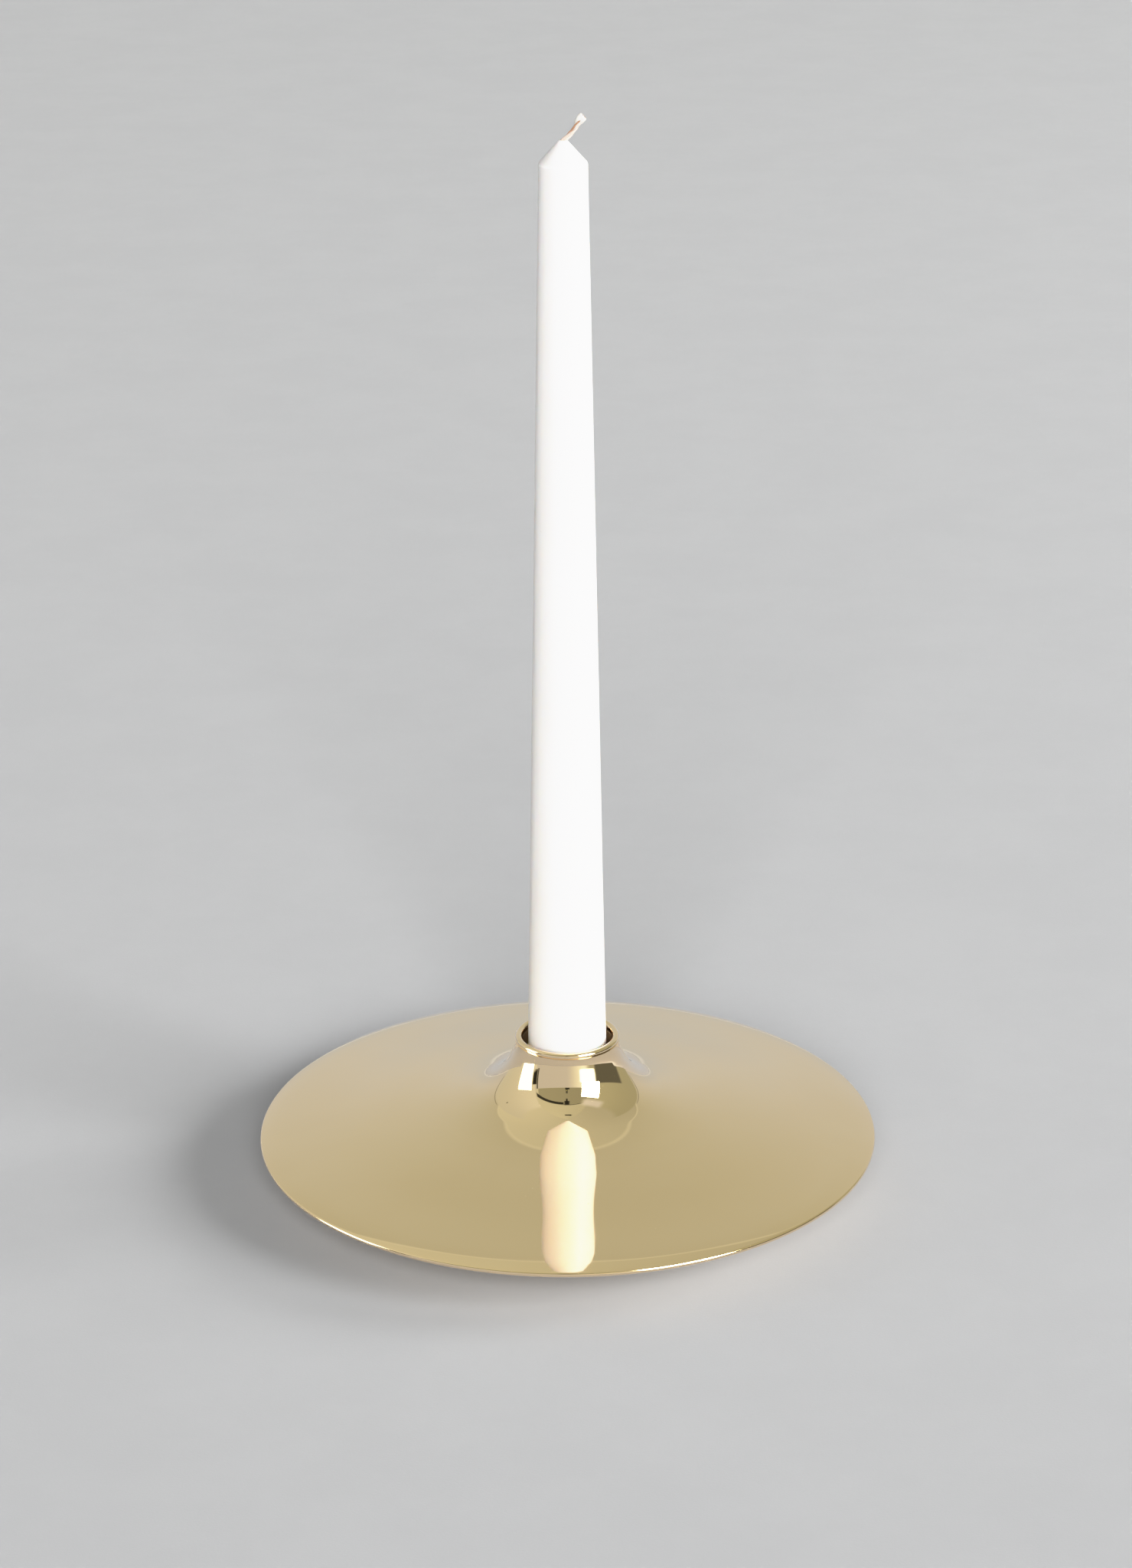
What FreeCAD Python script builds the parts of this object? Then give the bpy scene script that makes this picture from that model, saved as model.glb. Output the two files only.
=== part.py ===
"""Candle plate: a spun brass disc on a weighted foot, with a draw-screwed cup and a dinner candle.

Frame: millimetres, +Z up, origin on the table under the centre of the disc.
Every round piece is a solid of revolution about Z.  The candle and its wick lift out along +Z.
"""
import FreeCAD, Part
import math
import os

# ---- driving dimensions (mm and degrees) ----

# spun disc and neck
DISC_RADIUS = 85.0
SHEET = 1.4
CONE_ANGLE = 10.6
RIM_ROLL_ANGLE = 19.0
RIM_ROLL_RADIUS = 27.0
FLARE_RADIUS = 86.0
FLARE_ANGLE = 18.0
NECK_BEND_RADIUS = 18.0
NECK_ANGLE = 70.0
NECK_STRAIGHT = 4.5
NECK_SHEET = 1.0

# candle cup
SOCKET_DEPTH = 28.0
MOUTH_CLEARANCE = 1.18
CUP_WALL = 0.72
CUP_CLEARANCE = 0.1
LIP_OVERHANG = 0.15
LIP_SEAT_DROP = 0.6
CUP_FLOOR = 2.0
BOSS_RADIUS = 8.0
BOSS_LENGTH = 4.0
DRAW_GAP = 0.5

# clamp screw and washer
SCREW_RADIUS = 2.5
SCREW_END_COVER = 1.0
SCREW_HEAD_RADIUS = 4.75
SCREW_HEAD_HEIGHT = 2.4
SCREW_HEAD_ROUND = 0.9
DRIVE_WIDTH = 3.0
DRIVE_DEPTH = 1.4
SCREW_HOLE_CLEARANCE = 0.4
HEAD_TO_TABLE_CLEARANCE = 0.3
WASHER_RADIUS = 5.5
WASHER_THICKNESS = 1.2
WASHER_CLEARANCE = 0.15

# weighted foot, cushion ring and felt
FOOT_TAPER_ANGLE = 8.0
FOOT_EDGE = 1.0
FOOT_SHOULDER = 1.0
FOOT_WEB = 2.6
FOOT_RECESS_RADIUS = 14.0
FOOT_BASE_THICKNESS = 10.0
FOOT_HUB_WALL = 5.0
CUP_POCKET_CLEARANCE = 0.3
CUSHION_THICKNESS = 1.0
CUSHION_WIDTH = 5.0
CUSHION_SEAT_EDGE = 0.5
FELT_THICKNESS = 1.5
FELT_WIDTH = 18.0
FELT_INSET = 1.5

# dinner candle and wick
CANDLE_LENGTH = 277.5
CANDLE_BASE_RADIUS = 11.2
CANDLE_TOP_RADIUS = 6.3
CANDLE_TIP_HEIGHT = 5.85
CANDLE_SHOULDER_ROUND = 1.3
CANDLE_BASE_CHAMFER = 0.8
CANDLE_SIDE_CLEARANCE = 0.3
CANDLE_TIP_WALL = 0.4
WICK_RADIUS = 0.7
WICK_LEAN_ANGLE = 45.0
WICK_END_ANGLE = 32.0
WICK_BURIED_BEND = 0.6
WICK_BEND_RADIUS = 1.6
WICK_SLANT_LENGTH = 3.4
WICK_CURL_RADIUS = 4.5
WICK_END_LENGTH = 3.45

AXIS_POINT = FreeCAD.Vector(0, 0, 0)
AXIS_UP = FreeCAD.Vector(0, 0, 1)

cone_slope = math.radians(CONE_ANGLE)
roll_slope = math.radians(RIM_ROLL_ANGLE)
flare_slope = math.radians(FLARE_ANGLE)
neck_slope = math.radians(NECK_ANGLE)

# ---- heights, stacked up from the table ----

screw_head_bottom = FELT_THICKNESS + HEAD_TO_TABLE_CLEARANCE
washer_bottom = screw_head_bottom + SCREW_HEAD_HEIGHT
web_bottom = washer_bottom + WASHER_THICKNESS
web_top = web_bottom + FOOT_WEB
boss_bottom = web_top + DRAW_GAP
cup_underside = boss_bottom + BOSS_LENGTH
socket_floor = cup_underside + CUP_FLOOR
lip_height = socket_floor + SOCKET_DEPTH
neck_top = lip_height - LIP_SEAT_DROP

# ---- radii, nested outward from the candle ----

mouth_radius = CANDLE_BASE_RADIUS + MOUTH_CLEARANCE
floor_radius = CANDLE_BASE_RADIUS + CANDLE_SIDE_CLEARANCE
cup_outer_radius = mouth_radius + CUP_WALL
neck_inner_radius = cup_outer_radius + CUP_CLEARANCE
neck_radius = neck_inner_radius + NECK_SHEET
lip_outer_radius = neck_radius + LIP_OVERHANG
lip_round = (lip_outer_radius - mouth_radius) / 2
pocket_radius = cup_outer_radius + CUP_POCKET_CLEARANCE
screw_tip = socket_floor - SCREW_END_COVER


class Outline:
    """A closed outline in the XZ half plane, drawn edge by edge and spun about Z."""

    def __init__(self, radius, height):
        self.start = FreeCAD.Vector(radius, 0, height)
        self.here = self.start
        self.edges = []

    def line_to(self, radius, height):
        """Draw a straight edge to a point."""
        there = FreeCAD.Vector(radius, 0, height)
        if there.distanceToPoint(self.here) > 1e-7:
            self.edges.append(Part.LineSegment(self.here, there).toShape())
            self.here = there
        return self

    def arc_to(self, through, to):
        """Draw an arc through one (radius, height) point to another."""
        middle = FreeCAD.Vector(through[0], 0, through[1])
        there = FreeCAD.Vector(to[0], 0, to[1])
        self.edges.append(Part.Arc(self.here, middle, there).toShape())
        self.here = there
        return self

    def bend(self, radius, slope_from, slope_to, outward=1):
        """Draw a tangent arc between two downhill slopes, from the uphill end outward."""
        start = self.here

        def point(slope):
            along = radius * (math.sin(slope_from) - math.sin(slope))
            drop = radius * (math.cos(slope) - math.cos(slope_from))
            return start.x + outward * along, start.z - outward * drop

        return self.arc_to(point((slope_from + slope_to) / 2), point(slope_to))

    def spin(self):
        """Close the outline and turn it once round Z."""
        self.line_to(self.start.x, self.start.z)
        face = Part.Face(Part.Wire(self.edges))
        return face.revolve(AXIS_POINT, AXIS_UP, 360)


def tube(outer, inner, bottom, top):
    """Return a plain ring, or a disc where the inner radius is zero."""
    outline = Outline(inner, bottom)
    outline.line_to(outer, bottom).line_to(outer, top).line_to(inner, top)
    return outline.spin()


def neck_bore(height):
    """Return the radius of the neck's inner wall on its straight stretch, at a height."""
    return neck_inner_radius + (neck_top - height) / math.tan(neck_slope)


class DiscProfile:
    """The disc's upper skin from the neck down to the rim, as stations between its arcs."""

    def __init__(self):
        wall_reach = NECK_STRAIGHT / math.tan(neck_slope)
        self.wall_foot = (neck_radius + wall_reach, neck_top - NECK_STRAIGHT)
        self.bend_foot = self.arc_end(self.wall_foot, NECK_BEND_RADIUS, neck_slope, flare_slope)
        self.cone_head = self.arc_end(self.bend_foot, FLARE_RADIUS, flare_slope, cone_slope)
        roll_reach = RIM_ROLL_RADIUS * (math.sin(roll_slope) - math.sin(cone_slope))
        roll_drop = RIM_ROLL_RADIUS * (math.cos(cone_slope) - math.cos(roll_slope))
        bead = SHEET / 2
        self.roll_radius = DISC_RADIUS - bead + bead * math.sin(roll_slope)
        cone_foot_radius = self.roll_radius - roll_reach
        self.cone_foot = (cone_foot_radius, self.cone_height(cone_foot_radius))
        self.roll_end = (self.roll_radius, self.cone_foot[1] - roll_drop)
        self.bead_centre = (DISC_RADIUS - bead, self.roll_end[1] - bead * math.cos(roll_slope))

    @staticmethod
    def arc_end(start, radius, slope_from, slope_to):
        """Return where a tangent arc between two downhill slopes ends."""
        outward = radius * (math.sin(slope_from) - math.sin(slope_to))
        down = radius * (math.cos(slope_to) - math.cos(slope_from))
        return start[0] + outward, start[1] - down

    @staticmethod
    def beneath(station, slope, depth):
        """Return the point square below a station of the upper skin."""
        return station[0] - depth * math.sin(slope), station[1] - depth * math.cos(slope)

    def cone_height(self, radius, depth=0.0):
        """Return the height on the cone at a radius, measured a depth below the upper skin."""
        along = radius - self.cone_head[0]
        return self.cone_head[1] - along * math.tan(cone_slope) - depth / math.cos(cone_slope)


profile = DiscProfile()


def disc_shell():
    """Spun sheet: rolled rim, shallow cone and a neck that flares up to the cup's lip."""
    roll_centre = profile.beneath(profile.cone_foot, cone_slope, RIM_ROLL_RADIUS)
    middle = (cone_slope + roll_slope) / 2

    def on_roll(radius, slope):
        return profile.beneath(roll_centre, slope, -radius)

    outline = Outline(neck_radius, neck_top)
    outline.line_to(*profile.wall_foot)
    outline.bend(NECK_BEND_RADIUS, neck_slope, flare_slope)
    outline.bend(FLARE_RADIUS, flare_slope, cone_slope)
    outline.line_to(*profile.cone_foot)
    outline.arc_to(on_roll(RIM_ROLL_RADIUS, middle), on_roll(RIM_ROLL_RADIUS, roll_slope))
    rim_edge = profile.beneath(profile.bead_centre, roll_slope + math.pi / 2, -SHEET / 2)
    inner_roll = RIM_ROLL_RADIUS - SHEET
    outline.arc_to(rim_edge, on_roll(inner_roll, roll_slope))
    outline.arc_to(on_roll(inner_roll, middle), on_roll(inner_roll, cone_slope))
    outline.line_to(*profile.beneath(profile.cone_head, cone_slope, SHEET))
    outline.bend(FLARE_RADIUS + SHEET, cone_slope, flare_slope)

    bend_foot = profile.beneath(profile.bend_foot, flare_slope, SHEET)
    wall_height = profile.wall_foot[1] - NECK_SHEET * math.cos(neck_slope)
    wall_foot = (neck_bore(wall_height), wall_height)
    bend_radius = NECK_BEND_RADIUS + SHEET
    reach = math.dist(wall_foot, bend_foot)
    sag = bend_radius - math.sqrt(bend_radius ** 2 - reach ** 2 / 4)
    through_radius = (wall_foot[0] + bend_foot[0]) / 2 - sag * (wall_foot[1] - bend_foot[1]) / reach
    through_height = (wall_foot[1] + bend_foot[1]) / 2 - sag * (bend_foot[0] - wall_foot[0]) / reach
    outline.arc_to((through_radius, through_height), wall_foot)
    outline.line_to(neck_inner_radius, neck_top)
    return outline.spin()


def candle_cup():
    """Turned cup: rounded lip seated on the neck, tapered socket, and a tapped boss below."""
    outline = Outline(0, socket_floor)
    outline.line_to(floor_radius, socket_floor)
    outline.line_to(mouth_radius, lip_height)
    outline.arc_to((mouth_radius + lip_round, lip_height + lip_round), (lip_outer_radius, lip_height))
    outline.line_to(lip_outer_radius, neck_top)
    outline.line_to(cup_outer_radius, neck_top)
    outline.line_to(cup_outer_radius, cup_underside)
    outline.line_to(BOSS_RADIUS, cup_underside)
    outline.line_to(BOSS_RADIUS, boss_bottom)
    outline.line_to(SCREW_RADIUS, boss_bottom)
    outline.line_to(SCREW_RADIUS, screw_tip)
    outline.line_to(0, screw_tip)
    return outline.spin()


def clamp_screw():
    """Pan-head screw that draws the cup down and the foot up, with a hexagon drive."""
    outline = Outline(0, screw_head_bottom)
    outline.line_to(SCREW_HEAD_RADIUS - SCREW_HEAD_ROUND, screw_head_bottom)
    turn = SCREW_HEAD_ROUND * (1 - math.sqrt(0.5))
    outline.arc_to((SCREW_HEAD_RADIUS - turn, screw_head_bottom + turn),
                   (SCREW_HEAD_RADIUS, screw_head_bottom + SCREW_HEAD_ROUND))
    outline.line_to(SCREW_HEAD_RADIUS, washer_bottom)
    outline.line_to(SCREW_RADIUS, washer_bottom)
    outline.line_to(SCREW_RADIUS, screw_tip)
    outline.line_to(0, screw_tip)
    screw = outline.spin()
    corner = DRIVE_WIDTH / math.sqrt(3)
    corners = []
    for side in range(7):
        turn = math.radians(60 * side)
        corners.append(FreeCAD.Vector(corner * math.cos(turn), corner * math.sin(turn), screw_head_bottom))
    drive = Part.Face(Part.makePolygon(corners)).extrude(AXIS_UP * DRIVE_DEPTH)
    return screw.cut(drive)


def lock_washer():
    """Washer between the screw head and the foot's web."""
    return tube(WASHER_RADIUS, SCREW_RADIUS + WASHER_CLEARANCE, washer_bottom, web_bottom)


foot_bottom = FELT_THICKNESS
cushion_depth = SHEET + CUSHION_THICKNESS
cushion_inner_radius = profile.cone_head[0] + CUSHION_SEAT_EDGE
cushion_outer_radius = cushion_inner_radius + CUSHION_WIDTH
foot_top_radius = cushion_outer_radius + FOOT_SHOULDER
foot_side_top = profile.cone_height(foot_top_radius, cushion_depth)
foot_side_lean = math.tan(math.radians(FOOT_TAPER_ANGLE))
foot_radius = foot_top_radius + (foot_side_top - foot_bottom) * foot_side_lean


def foot_weight():
    """Cast foot under the disc: cushion seat, cored trough, cup pocket and screw recess."""
    trough_outer = cushion_inner_radius - CUSHION_SEAT_EDGE
    trough_inner = pocket_radius + FOOT_HUB_WALL
    trough_floor = foot_bottom + FOOT_BASE_THICKNESS
    outline = Outline(FOOT_RECESS_RADIUS, foot_bottom)
    outline.line_to(foot_radius - FOOT_EDGE, foot_bottom)
    outline.line_to(foot_radius - FOOT_EDGE * foot_side_lean, foot_bottom + FOOT_EDGE)
    outline.line_to(foot_top_radius, foot_side_top)
    outline.line_to(trough_outer, profile.cone_height(trough_outer, cushion_depth))
    outline.line_to(trough_outer, trough_floor)
    outline.line_to(trough_inner, trough_floor)
    outline.line_to(trough_inner, foot_side_top)
    outline.line_to(pocket_radius, foot_side_top)
    outline.line_to(pocket_radius, web_top)
    outline.line_to(SCREW_RADIUS + SCREW_HOLE_CLEARANCE, web_top)
    outline.line_to(SCREW_RADIUS + SCREW_HOLE_CLEARANCE, web_bottom)
    outline.line_to(FOOT_RECESS_RADIUS, web_bottom)
    return outline.spin()


def cushion_ring():
    """Soft ring between the foot and the disc's underside, lying along the cone."""
    outline = Outline(cushion_inner_radius, profile.cone_height(cushion_inner_radius, cushion_depth))
    outline.line_to(cushion_outer_radius, profile.cone_height(cushion_outer_radius, cushion_depth))
    outline.line_to(cushion_outer_radius, profile.cone_height(cushion_outer_radius, SHEET))
    outline.line_to(cushion_inner_radius, profile.cone_height(cushion_inner_radius, SHEET))
    return outline.spin()


def felt_pad():
    """Felt ring glued under the foot."""
    outer = foot_radius - FOOT_EDGE - FELT_INSET
    return tube(outer, outer - FELT_WIDTH, 0, FELT_THICKNESS)


candle_bottom = socket_floor
candle_top = candle_bottom + CANDLE_LENGTH


def candle_body():
    """Tapered dinner candle with a pointed tip and a cast-in hole for the wick."""
    shoulder = candle_top - CANDLE_TIP_HEIGHT
    tip_radius = WICK_RADIUS + CANDLE_TIP_WALL
    tip_lean = (CANDLE_TOP_RADIUS - tip_radius) / CANDLE_TIP_HEIGHT
    side_lean = (CANDLE_BASE_RADIUS - CANDLE_TOP_RADIUS) / (shoulder - candle_bottom)
    reach = CANDLE_SHOULDER_ROUND * math.tan((math.atan(tip_lean) - math.atan(side_lean)) / 2)
    side_start = reach * math.cos(math.atan(side_lean))
    tip_start = reach * math.cos(math.atan(tip_lean))
    side_point = (CANDLE_TOP_RADIUS + side_start * side_lean, shoulder - side_start)
    tip_point = (CANDLE_TOP_RADIUS - tip_start * tip_lean, shoulder + tip_start)
    half = (math.atan(tip_lean) + math.atan(side_lean)) / 2
    inward = CANDLE_SHOULDER_ROUND * (1 / math.cos((math.atan(tip_lean) - math.atan(side_lean)) / 2) - 1)
    crown = (CANDLE_TOP_RADIUS - inward * math.cos(half), shoulder - inward * math.sin(half))
    outline = Outline(0, candle_bottom)
    chamfer = CANDLE_BASE_CHAMFER
    outline.line_to(CANDLE_BASE_RADIUS - chamfer, candle_bottom)
    outline.line_to(CANDLE_BASE_RADIUS - chamfer * side_lean, candle_bottom + chamfer)
    outline.line_to(*side_point)
    outline.arc_to(crown, tip_point)
    outline.line_to(tip_radius, candle_top)
    outline.line_to(0, candle_top)
    return outline.spin().cut(candle_wick())


def candle_wick():
    """Wick: straight through the wax, then leaning over and curling up at its free end."""
    lean = math.radians(WICK_LEAN_ANGLE)
    end = math.radians(WICK_END_ANGLE)
    start = FreeCAD.Vector(0, 0, candle_bottom)
    turn_start = FreeCAD.Vector(0, 0, candle_top - WICK_BURIED_BEND)

    def turned(origin, radius, angle_from, angle_to):
        side = 1 if angle_to > angle_from else -1
        across = side * radius * (math.cos(angle_from) - math.cos(angle_to))
        up = side * radius * (math.sin(angle_to) - math.sin(angle_from))
        return origin + FreeCAD.Vector(across, 0, up)

    bend_middle = turned(turn_start, WICK_BEND_RADIUS, 0, lean / 2)
    bend_end = turned(turn_start, WICK_BEND_RADIUS, 0, lean)
    slant = FreeCAD.Vector(math.sin(lean), 0, math.cos(lean))
    slant_end = bend_end + slant * WICK_SLANT_LENGTH
    curl_middle = turned(slant_end, WICK_CURL_RADIUS, lean, (lean + end) / 2)
    curl_end = turned(slant_end, WICK_CURL_RADIUS, lean, end)
    finish = curl_end + FreeCAD.Vector(math.sin(end), 0, math.cos(end)) * WICK_END_LENGTH
    path = Part.Wire([
        Part.LineSegment(start, turn_start).toShape(),
        Part.Arc(turn_start, bend_middle, bend_end).toShape(),
        Part.LineSegment(bend_end, slant_end).toShape(),
        Part.Arc(slant_end, curl_middle, curl_end).toShape(),
        Part.LineSegment(curl_end, finish).toShape(),
    ])
    section = Part.Wire([Part.Circle(start, AXIS_UP, WICK_RADIUS).toShape()])
    return path.makePipeShell([section], True, False)


NODES = (
    disc_shell,
    candle_cup,
    foot_weight,
    cushion_ring,
    clamp_screw,
    lock_washer,
    felt_pad,
    candle_body,
    candle_wick,
)

os.makedirs("parts", exist_ok=True)
print(f"lip at {lip_height:.2f} mm, rim at {profile.bead_centre[1]:.2f} mm, neck top at {neck_top:.2f} mm")
for make in NODES:
    solid = make()
    box = solid.optimalBoundingBox()
    print(f"{make.__name__:14s} valid={solid.isValid()} solids={len(solid.Solids)} "
          f"volume={solid.Volume / 1000:7.2f} cm3 z {box.ZMin:6.2f} to {box.ZMax:6.2f} x to {box.XMax:6.2f}")
    solid.exportStep(f"parts/{make.__name__}.step")
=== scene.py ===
"""Candle plate: a spun brass disc on a weighted foot, with a turned brass cup and a dinner candle.

Sizes in the classes are millimetres and degrees.  A mesh is turned into metres when it is made, and it keeps
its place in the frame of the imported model, so every object sits at the origin.
"""

import logging
import math
from dataclasses import dataclass
from enum import Enum
from functools import reduce

import bmesh
import bpy
import numpy as np
from mathutils import Matrix, Vector


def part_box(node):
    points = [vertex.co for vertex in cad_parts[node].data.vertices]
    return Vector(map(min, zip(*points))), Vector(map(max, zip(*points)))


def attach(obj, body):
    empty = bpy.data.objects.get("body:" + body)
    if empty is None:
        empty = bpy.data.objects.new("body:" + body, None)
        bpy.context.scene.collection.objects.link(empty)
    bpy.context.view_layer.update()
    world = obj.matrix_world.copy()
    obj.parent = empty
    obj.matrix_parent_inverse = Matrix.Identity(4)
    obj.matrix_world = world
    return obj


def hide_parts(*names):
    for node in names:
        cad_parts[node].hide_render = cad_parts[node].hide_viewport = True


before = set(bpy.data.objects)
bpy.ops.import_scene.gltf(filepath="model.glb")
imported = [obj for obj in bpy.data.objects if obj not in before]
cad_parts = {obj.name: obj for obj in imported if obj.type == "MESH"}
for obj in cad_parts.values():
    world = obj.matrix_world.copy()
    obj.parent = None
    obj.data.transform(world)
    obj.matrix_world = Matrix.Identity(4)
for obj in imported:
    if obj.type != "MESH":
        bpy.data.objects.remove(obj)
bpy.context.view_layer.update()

LOG = logging.getLogger("candle_plate")
MM = 0.001
Colour = tuple[float, float, float]
Corners = list[tuple[float, float, float]]
Array = np.ndarray
Piece = bpy.types.Object
Material = bpy.types.Material
Node = bpy.types.Node
Socket = bpy.types.NodeSocket


class Body(Enum):
    """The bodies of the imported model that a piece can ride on."""

    HOLDER = "holder"
    CANDLE = "candle"


# ---- Surfaces ----


class Contour:
    """A profile in the (radius, height) plane, drawn run by run and kept as short straight steps."""

    def __init__(self, radius: float, height: float) -> None:
        """Start at a point.

        Args:
            radius: distance from the axis.
            height: height above the table.
        """
        self.runs: list[Array] = [np.array([[radius, height]], float)]

    @property
    def here(self) -> Array:
        """The point that the last run ended at."""
        return self.runs[-1][-1]

    def line(self, radius: float, height: float, step: float = 2.0) -> None:
        """Draw a straight run: here + t * (there - here), with t in equal steps from 0 to 1.

        Args:
            radius: radius at the far end.
            height: height at the far end.
            step: longest step along the run.
        """
        there = np.array([radius, height], float)
        length = float(np.linalg.norm(there - self.here))
        count = max(1, math.ceil(length / step))
        share = np.linspace(0.0, 1.0, count + 1)[1:, None]
        self.runs.append(self.here + share * (there - self.here))

    def bend(self, radius: float, slope_from: float, slope_to: float, count: int) -> None:
        """Draw an arc that meets two downhill slopes.

        At a slope s it has gone radius * (sin from - sin s) outward and radius * (cos s - cos from) down.
        A positive radius has its centre above the sheet and a negative one below it.

        Args:
            radius: bend radius, signed.
            slope_from: downhill slope where the arc starts, in degrees.
            slope_to: downhill slope where it ends.
            count: number of steps.
        """
        slopes = np.radians(np.linspace(slope_from, slope_to, count + 1)[1:])
        first = math.radians(slope_from)
        along = radius * (math.sin(first) - np.sin(slopes))
        down = radius * (np.cos(slopes) - math.cos(first))
        self.runs.append(self.here + np.stack([along, -down], axis=1))

    def arc(self, centre: tuple[float, float], start: float, stop: float, count: int) -> None:
        """Draw an arc about a centre: centre + reach * (cos a, sin a), with a from start to stop.

        Args:
            centre: radius and height of the centre.
            start: first angle in degrees, from the outward direction towards the upward one.
            stop: last angle.
            count: number of steps.
        """
        middle = np.array(centre, float)
        reach = float(np.linalg.norm(self.here - middle))
        angles = np.radians(np.linspace(start, stop, count + 1)[1:])
        self.runs.append(middle + reach * np.stack([np.cos(angles), np.sin(angles)], axis=1))

    def points(self) -> Array:
        """All the points drawn so far, one row each."""
        return np.concatenate(self.runs)


def rounded(corners: Corners, closed: bool = False, steps: int = 6) -> Array:
    """Turn an outline's corners into tangent arcs.

    A corner with a fillet f is cut back by f / tan(half its inside angle) on both sides, and the arc between
    the two cuts is swept about the point that lies f from both sides.

    Args:
        corners: radius, height and fillet of each corner, in order.
        closed: whether the last corner joins the first.
        steps: steps in each arc.

    Returns:
        The outline's points, one row each.
    """
    here = np.array([corner[:2] for corner in corners], float)
    runs: list[Array] = []
    for index, (_, _, fillet) in enumerate(corners):
        at_end = not closed and index in (0, len(corners) - 1)
        if fillet <= 0.0 or at_end:
            runs.append(here[index:index + 1])
            continue
        back = here[index - 1] - here[index]
        onward = here[(index + 1) % len(corners)] - here[index]
        back_length, onward_length = np.linalg.norm(back), np.linalg.norm(onward)
        back, onward = back / back_length, onward / onward_length
        half = math.acos(float(np.clip(back @ onward, -1.0, 1.0))) / 2.0
        reach = min(fillet / math.tan(half), 0.48 * float(back_length), 0.48 * float(onward_length))
        radius = reach * math.tan(half)
        middle_way = (back + onward) / np.linalg.norm(back + onward)
        centre = here[index] + middle_way * radius / math.sin(half)
        first, last = here[index] + back * reach - centre, here[index] + onward * reach - centre
        share = np.linspace(0.0, 1.0, steps + 1)[:, None]
        spread = math.pi - 2.0 * half
        swept = (np.sin((1.0 - share) * spread) * first + np.sin(share * spread) * last) / math.sin(spread)
        runs.append(centre + swept)
    return np.concatenate(runs)


def refined(outline: Array, longest: float, closed: bool = False) -> Array:
    """Divide the long steps of an outline, by walking along it in equal distances between its own points.

    Args:
        outline: points, one row each.
        longest: longest step to leave.
        closed: whether the last point joins the first.

    Returns:
        The outline with its own points and the added ones.
    """
    ring = np.concatenate([outline, outline[:1]]) if closed else outline
    steps = np.linalg.norm(np.diff(ring, axis=0), axis=1)
    counts = np.maximum(1, np.ceil(steps / longest)).astype(int)
    index = np.repeat(np.arange(len(counts)), counts)
    order = np.arange(len(index)) - np.repeat(np.cumsum(counts) - counts, counts)
    share = (order / counts[index])[:, None]
    walked = ring[index] + share * (ring[index + 1] - ring[index])
    return walked if closed else np.concatenate([walked, ring[-1:]])


def ring(corners: Corners, longest: float, steps: int = 6) -> Array:
    """A closed section: its corners rounded and its long steps divided."""
    return refined(rounded(corners, True, steps), longest, True)


def around(steps: int) -> Array:
    """Equal angles round the circle, from 0."""
    return np.arange(steps) * (math.tau / steps)


def turned(outline: Array, segments: int) -> Array:
    """Turn an outline about the upright axis: (r cos a, r sin a, z), with a in equal steps round the circle.

    Args:
        outline: radius and height, one row each.
        segments: steps round the circle.

    Returns:
        A grid of points, outline by turn by 3.
    """
    angles = around(segments)
    radius, height = outline[:, 0:1], outline[:, 1:2]
    return np.stack([radius * np.cos(angles), radius * np.sin(angles), height + 0.0 * angles], axis=-1)


def swell(points: Array, amount: Array) -> Array:
    """Scale the distance of each point from the upright axis: x and y are multiplied by 1 + amount / radius.

    Args:
        points: a grid of points.
        amount: how far each point moves outward.

    Returns:
        The moved grid.
    """
    radius = np.hypot(points[..., 0], points[..., 1])
    scale = 1.0 + amount / np.maximum(radius, 1e-6)
    moved = points.copy()
    moved[..., 0] *= scale
    moved[..., 1] *= scale
    return moved


def uneven(points: Array, wavelength: float, seed: int, waves: int = 14) -> Array:
    """A smooth unevenness in space: the mean of sine waves of about one wavelength in seeded directions.

    Args:
        points: a grid of points.
        wavelength: mean distance between crests.
        seed: seed of the directions and phases.
        waves: how many waves are added.

    Returns:
        A value from about -1 to 1 for each point.
    """
    dice = np.random.default_rng(seed)
    direction = dice.normal(size=(waves, 3))
    direction /= np.linalg.norm(direction, axis=1, keepdims=True)
    direction *= (math.tau / wavelength) * dice.uniform(0.6, 1.6, size=(waves, 1))
    phase = dice.uniform(0.0, math.tau, size=waves)
    return np.sin(points @ direction.T + phase).sum(axis=-1) * (1.6 / waves)


def eased(value: Array, start: float, stop: float) -> Array:
    """A step from 0 to 1 that eases in and out: t * t * (3 - 2 t), with t running from start to stop."""
    share = np.clip((value - start) / (stop - start), 0.0, 1.0)
    return share * share * (3.0 - 2.0 * share)


@dataclass
class Patch:
    """A grid of points, how it closes on itself, and which of the piece's finishes it wears."""

    points: Array
    rows_close: bool = False
    columns_close: bool = True
    finish: int = 0

    def capped(self) -> "Patch":
        """Close both ends with a row drawn in to its middle."""
        first = np.broadcast_to(self.points[0].mean(axis=0), self.points[0].shape)[None]
        last = np.broadcast_to(self.points[-1].mean(axis=0), self.points[-1].shape)[None]
        return Patch(np.concatenate([first, self.points, last]), False, self.columns_close, self.finish)

    def quads(self, offset: int) -> Array:
        """Join each point to its neighbours below and beside, counting round where the grid closes.

        Args:
            offset: number of the grid's first point in the mesh.

        Returns:
            Four point numbers for each face.
        """
        rows, columns = self.points.shape[:2]
        row = np.arange(rows if self.rows_close else rows - 1)
        column = np.arange(columns if self.columns_close else columns - 1)
        i, j = np.meshgrid(row, column, indexing="ij")
        below, beside = (i + 1) % rows, (j + 1) % columns
        corners = [i * columns + j, i * columns + beside, below * columns + beside, below * columns + j]
        return offset + np.stack(corners, axis=-1).reshape(-1, 4)


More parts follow.
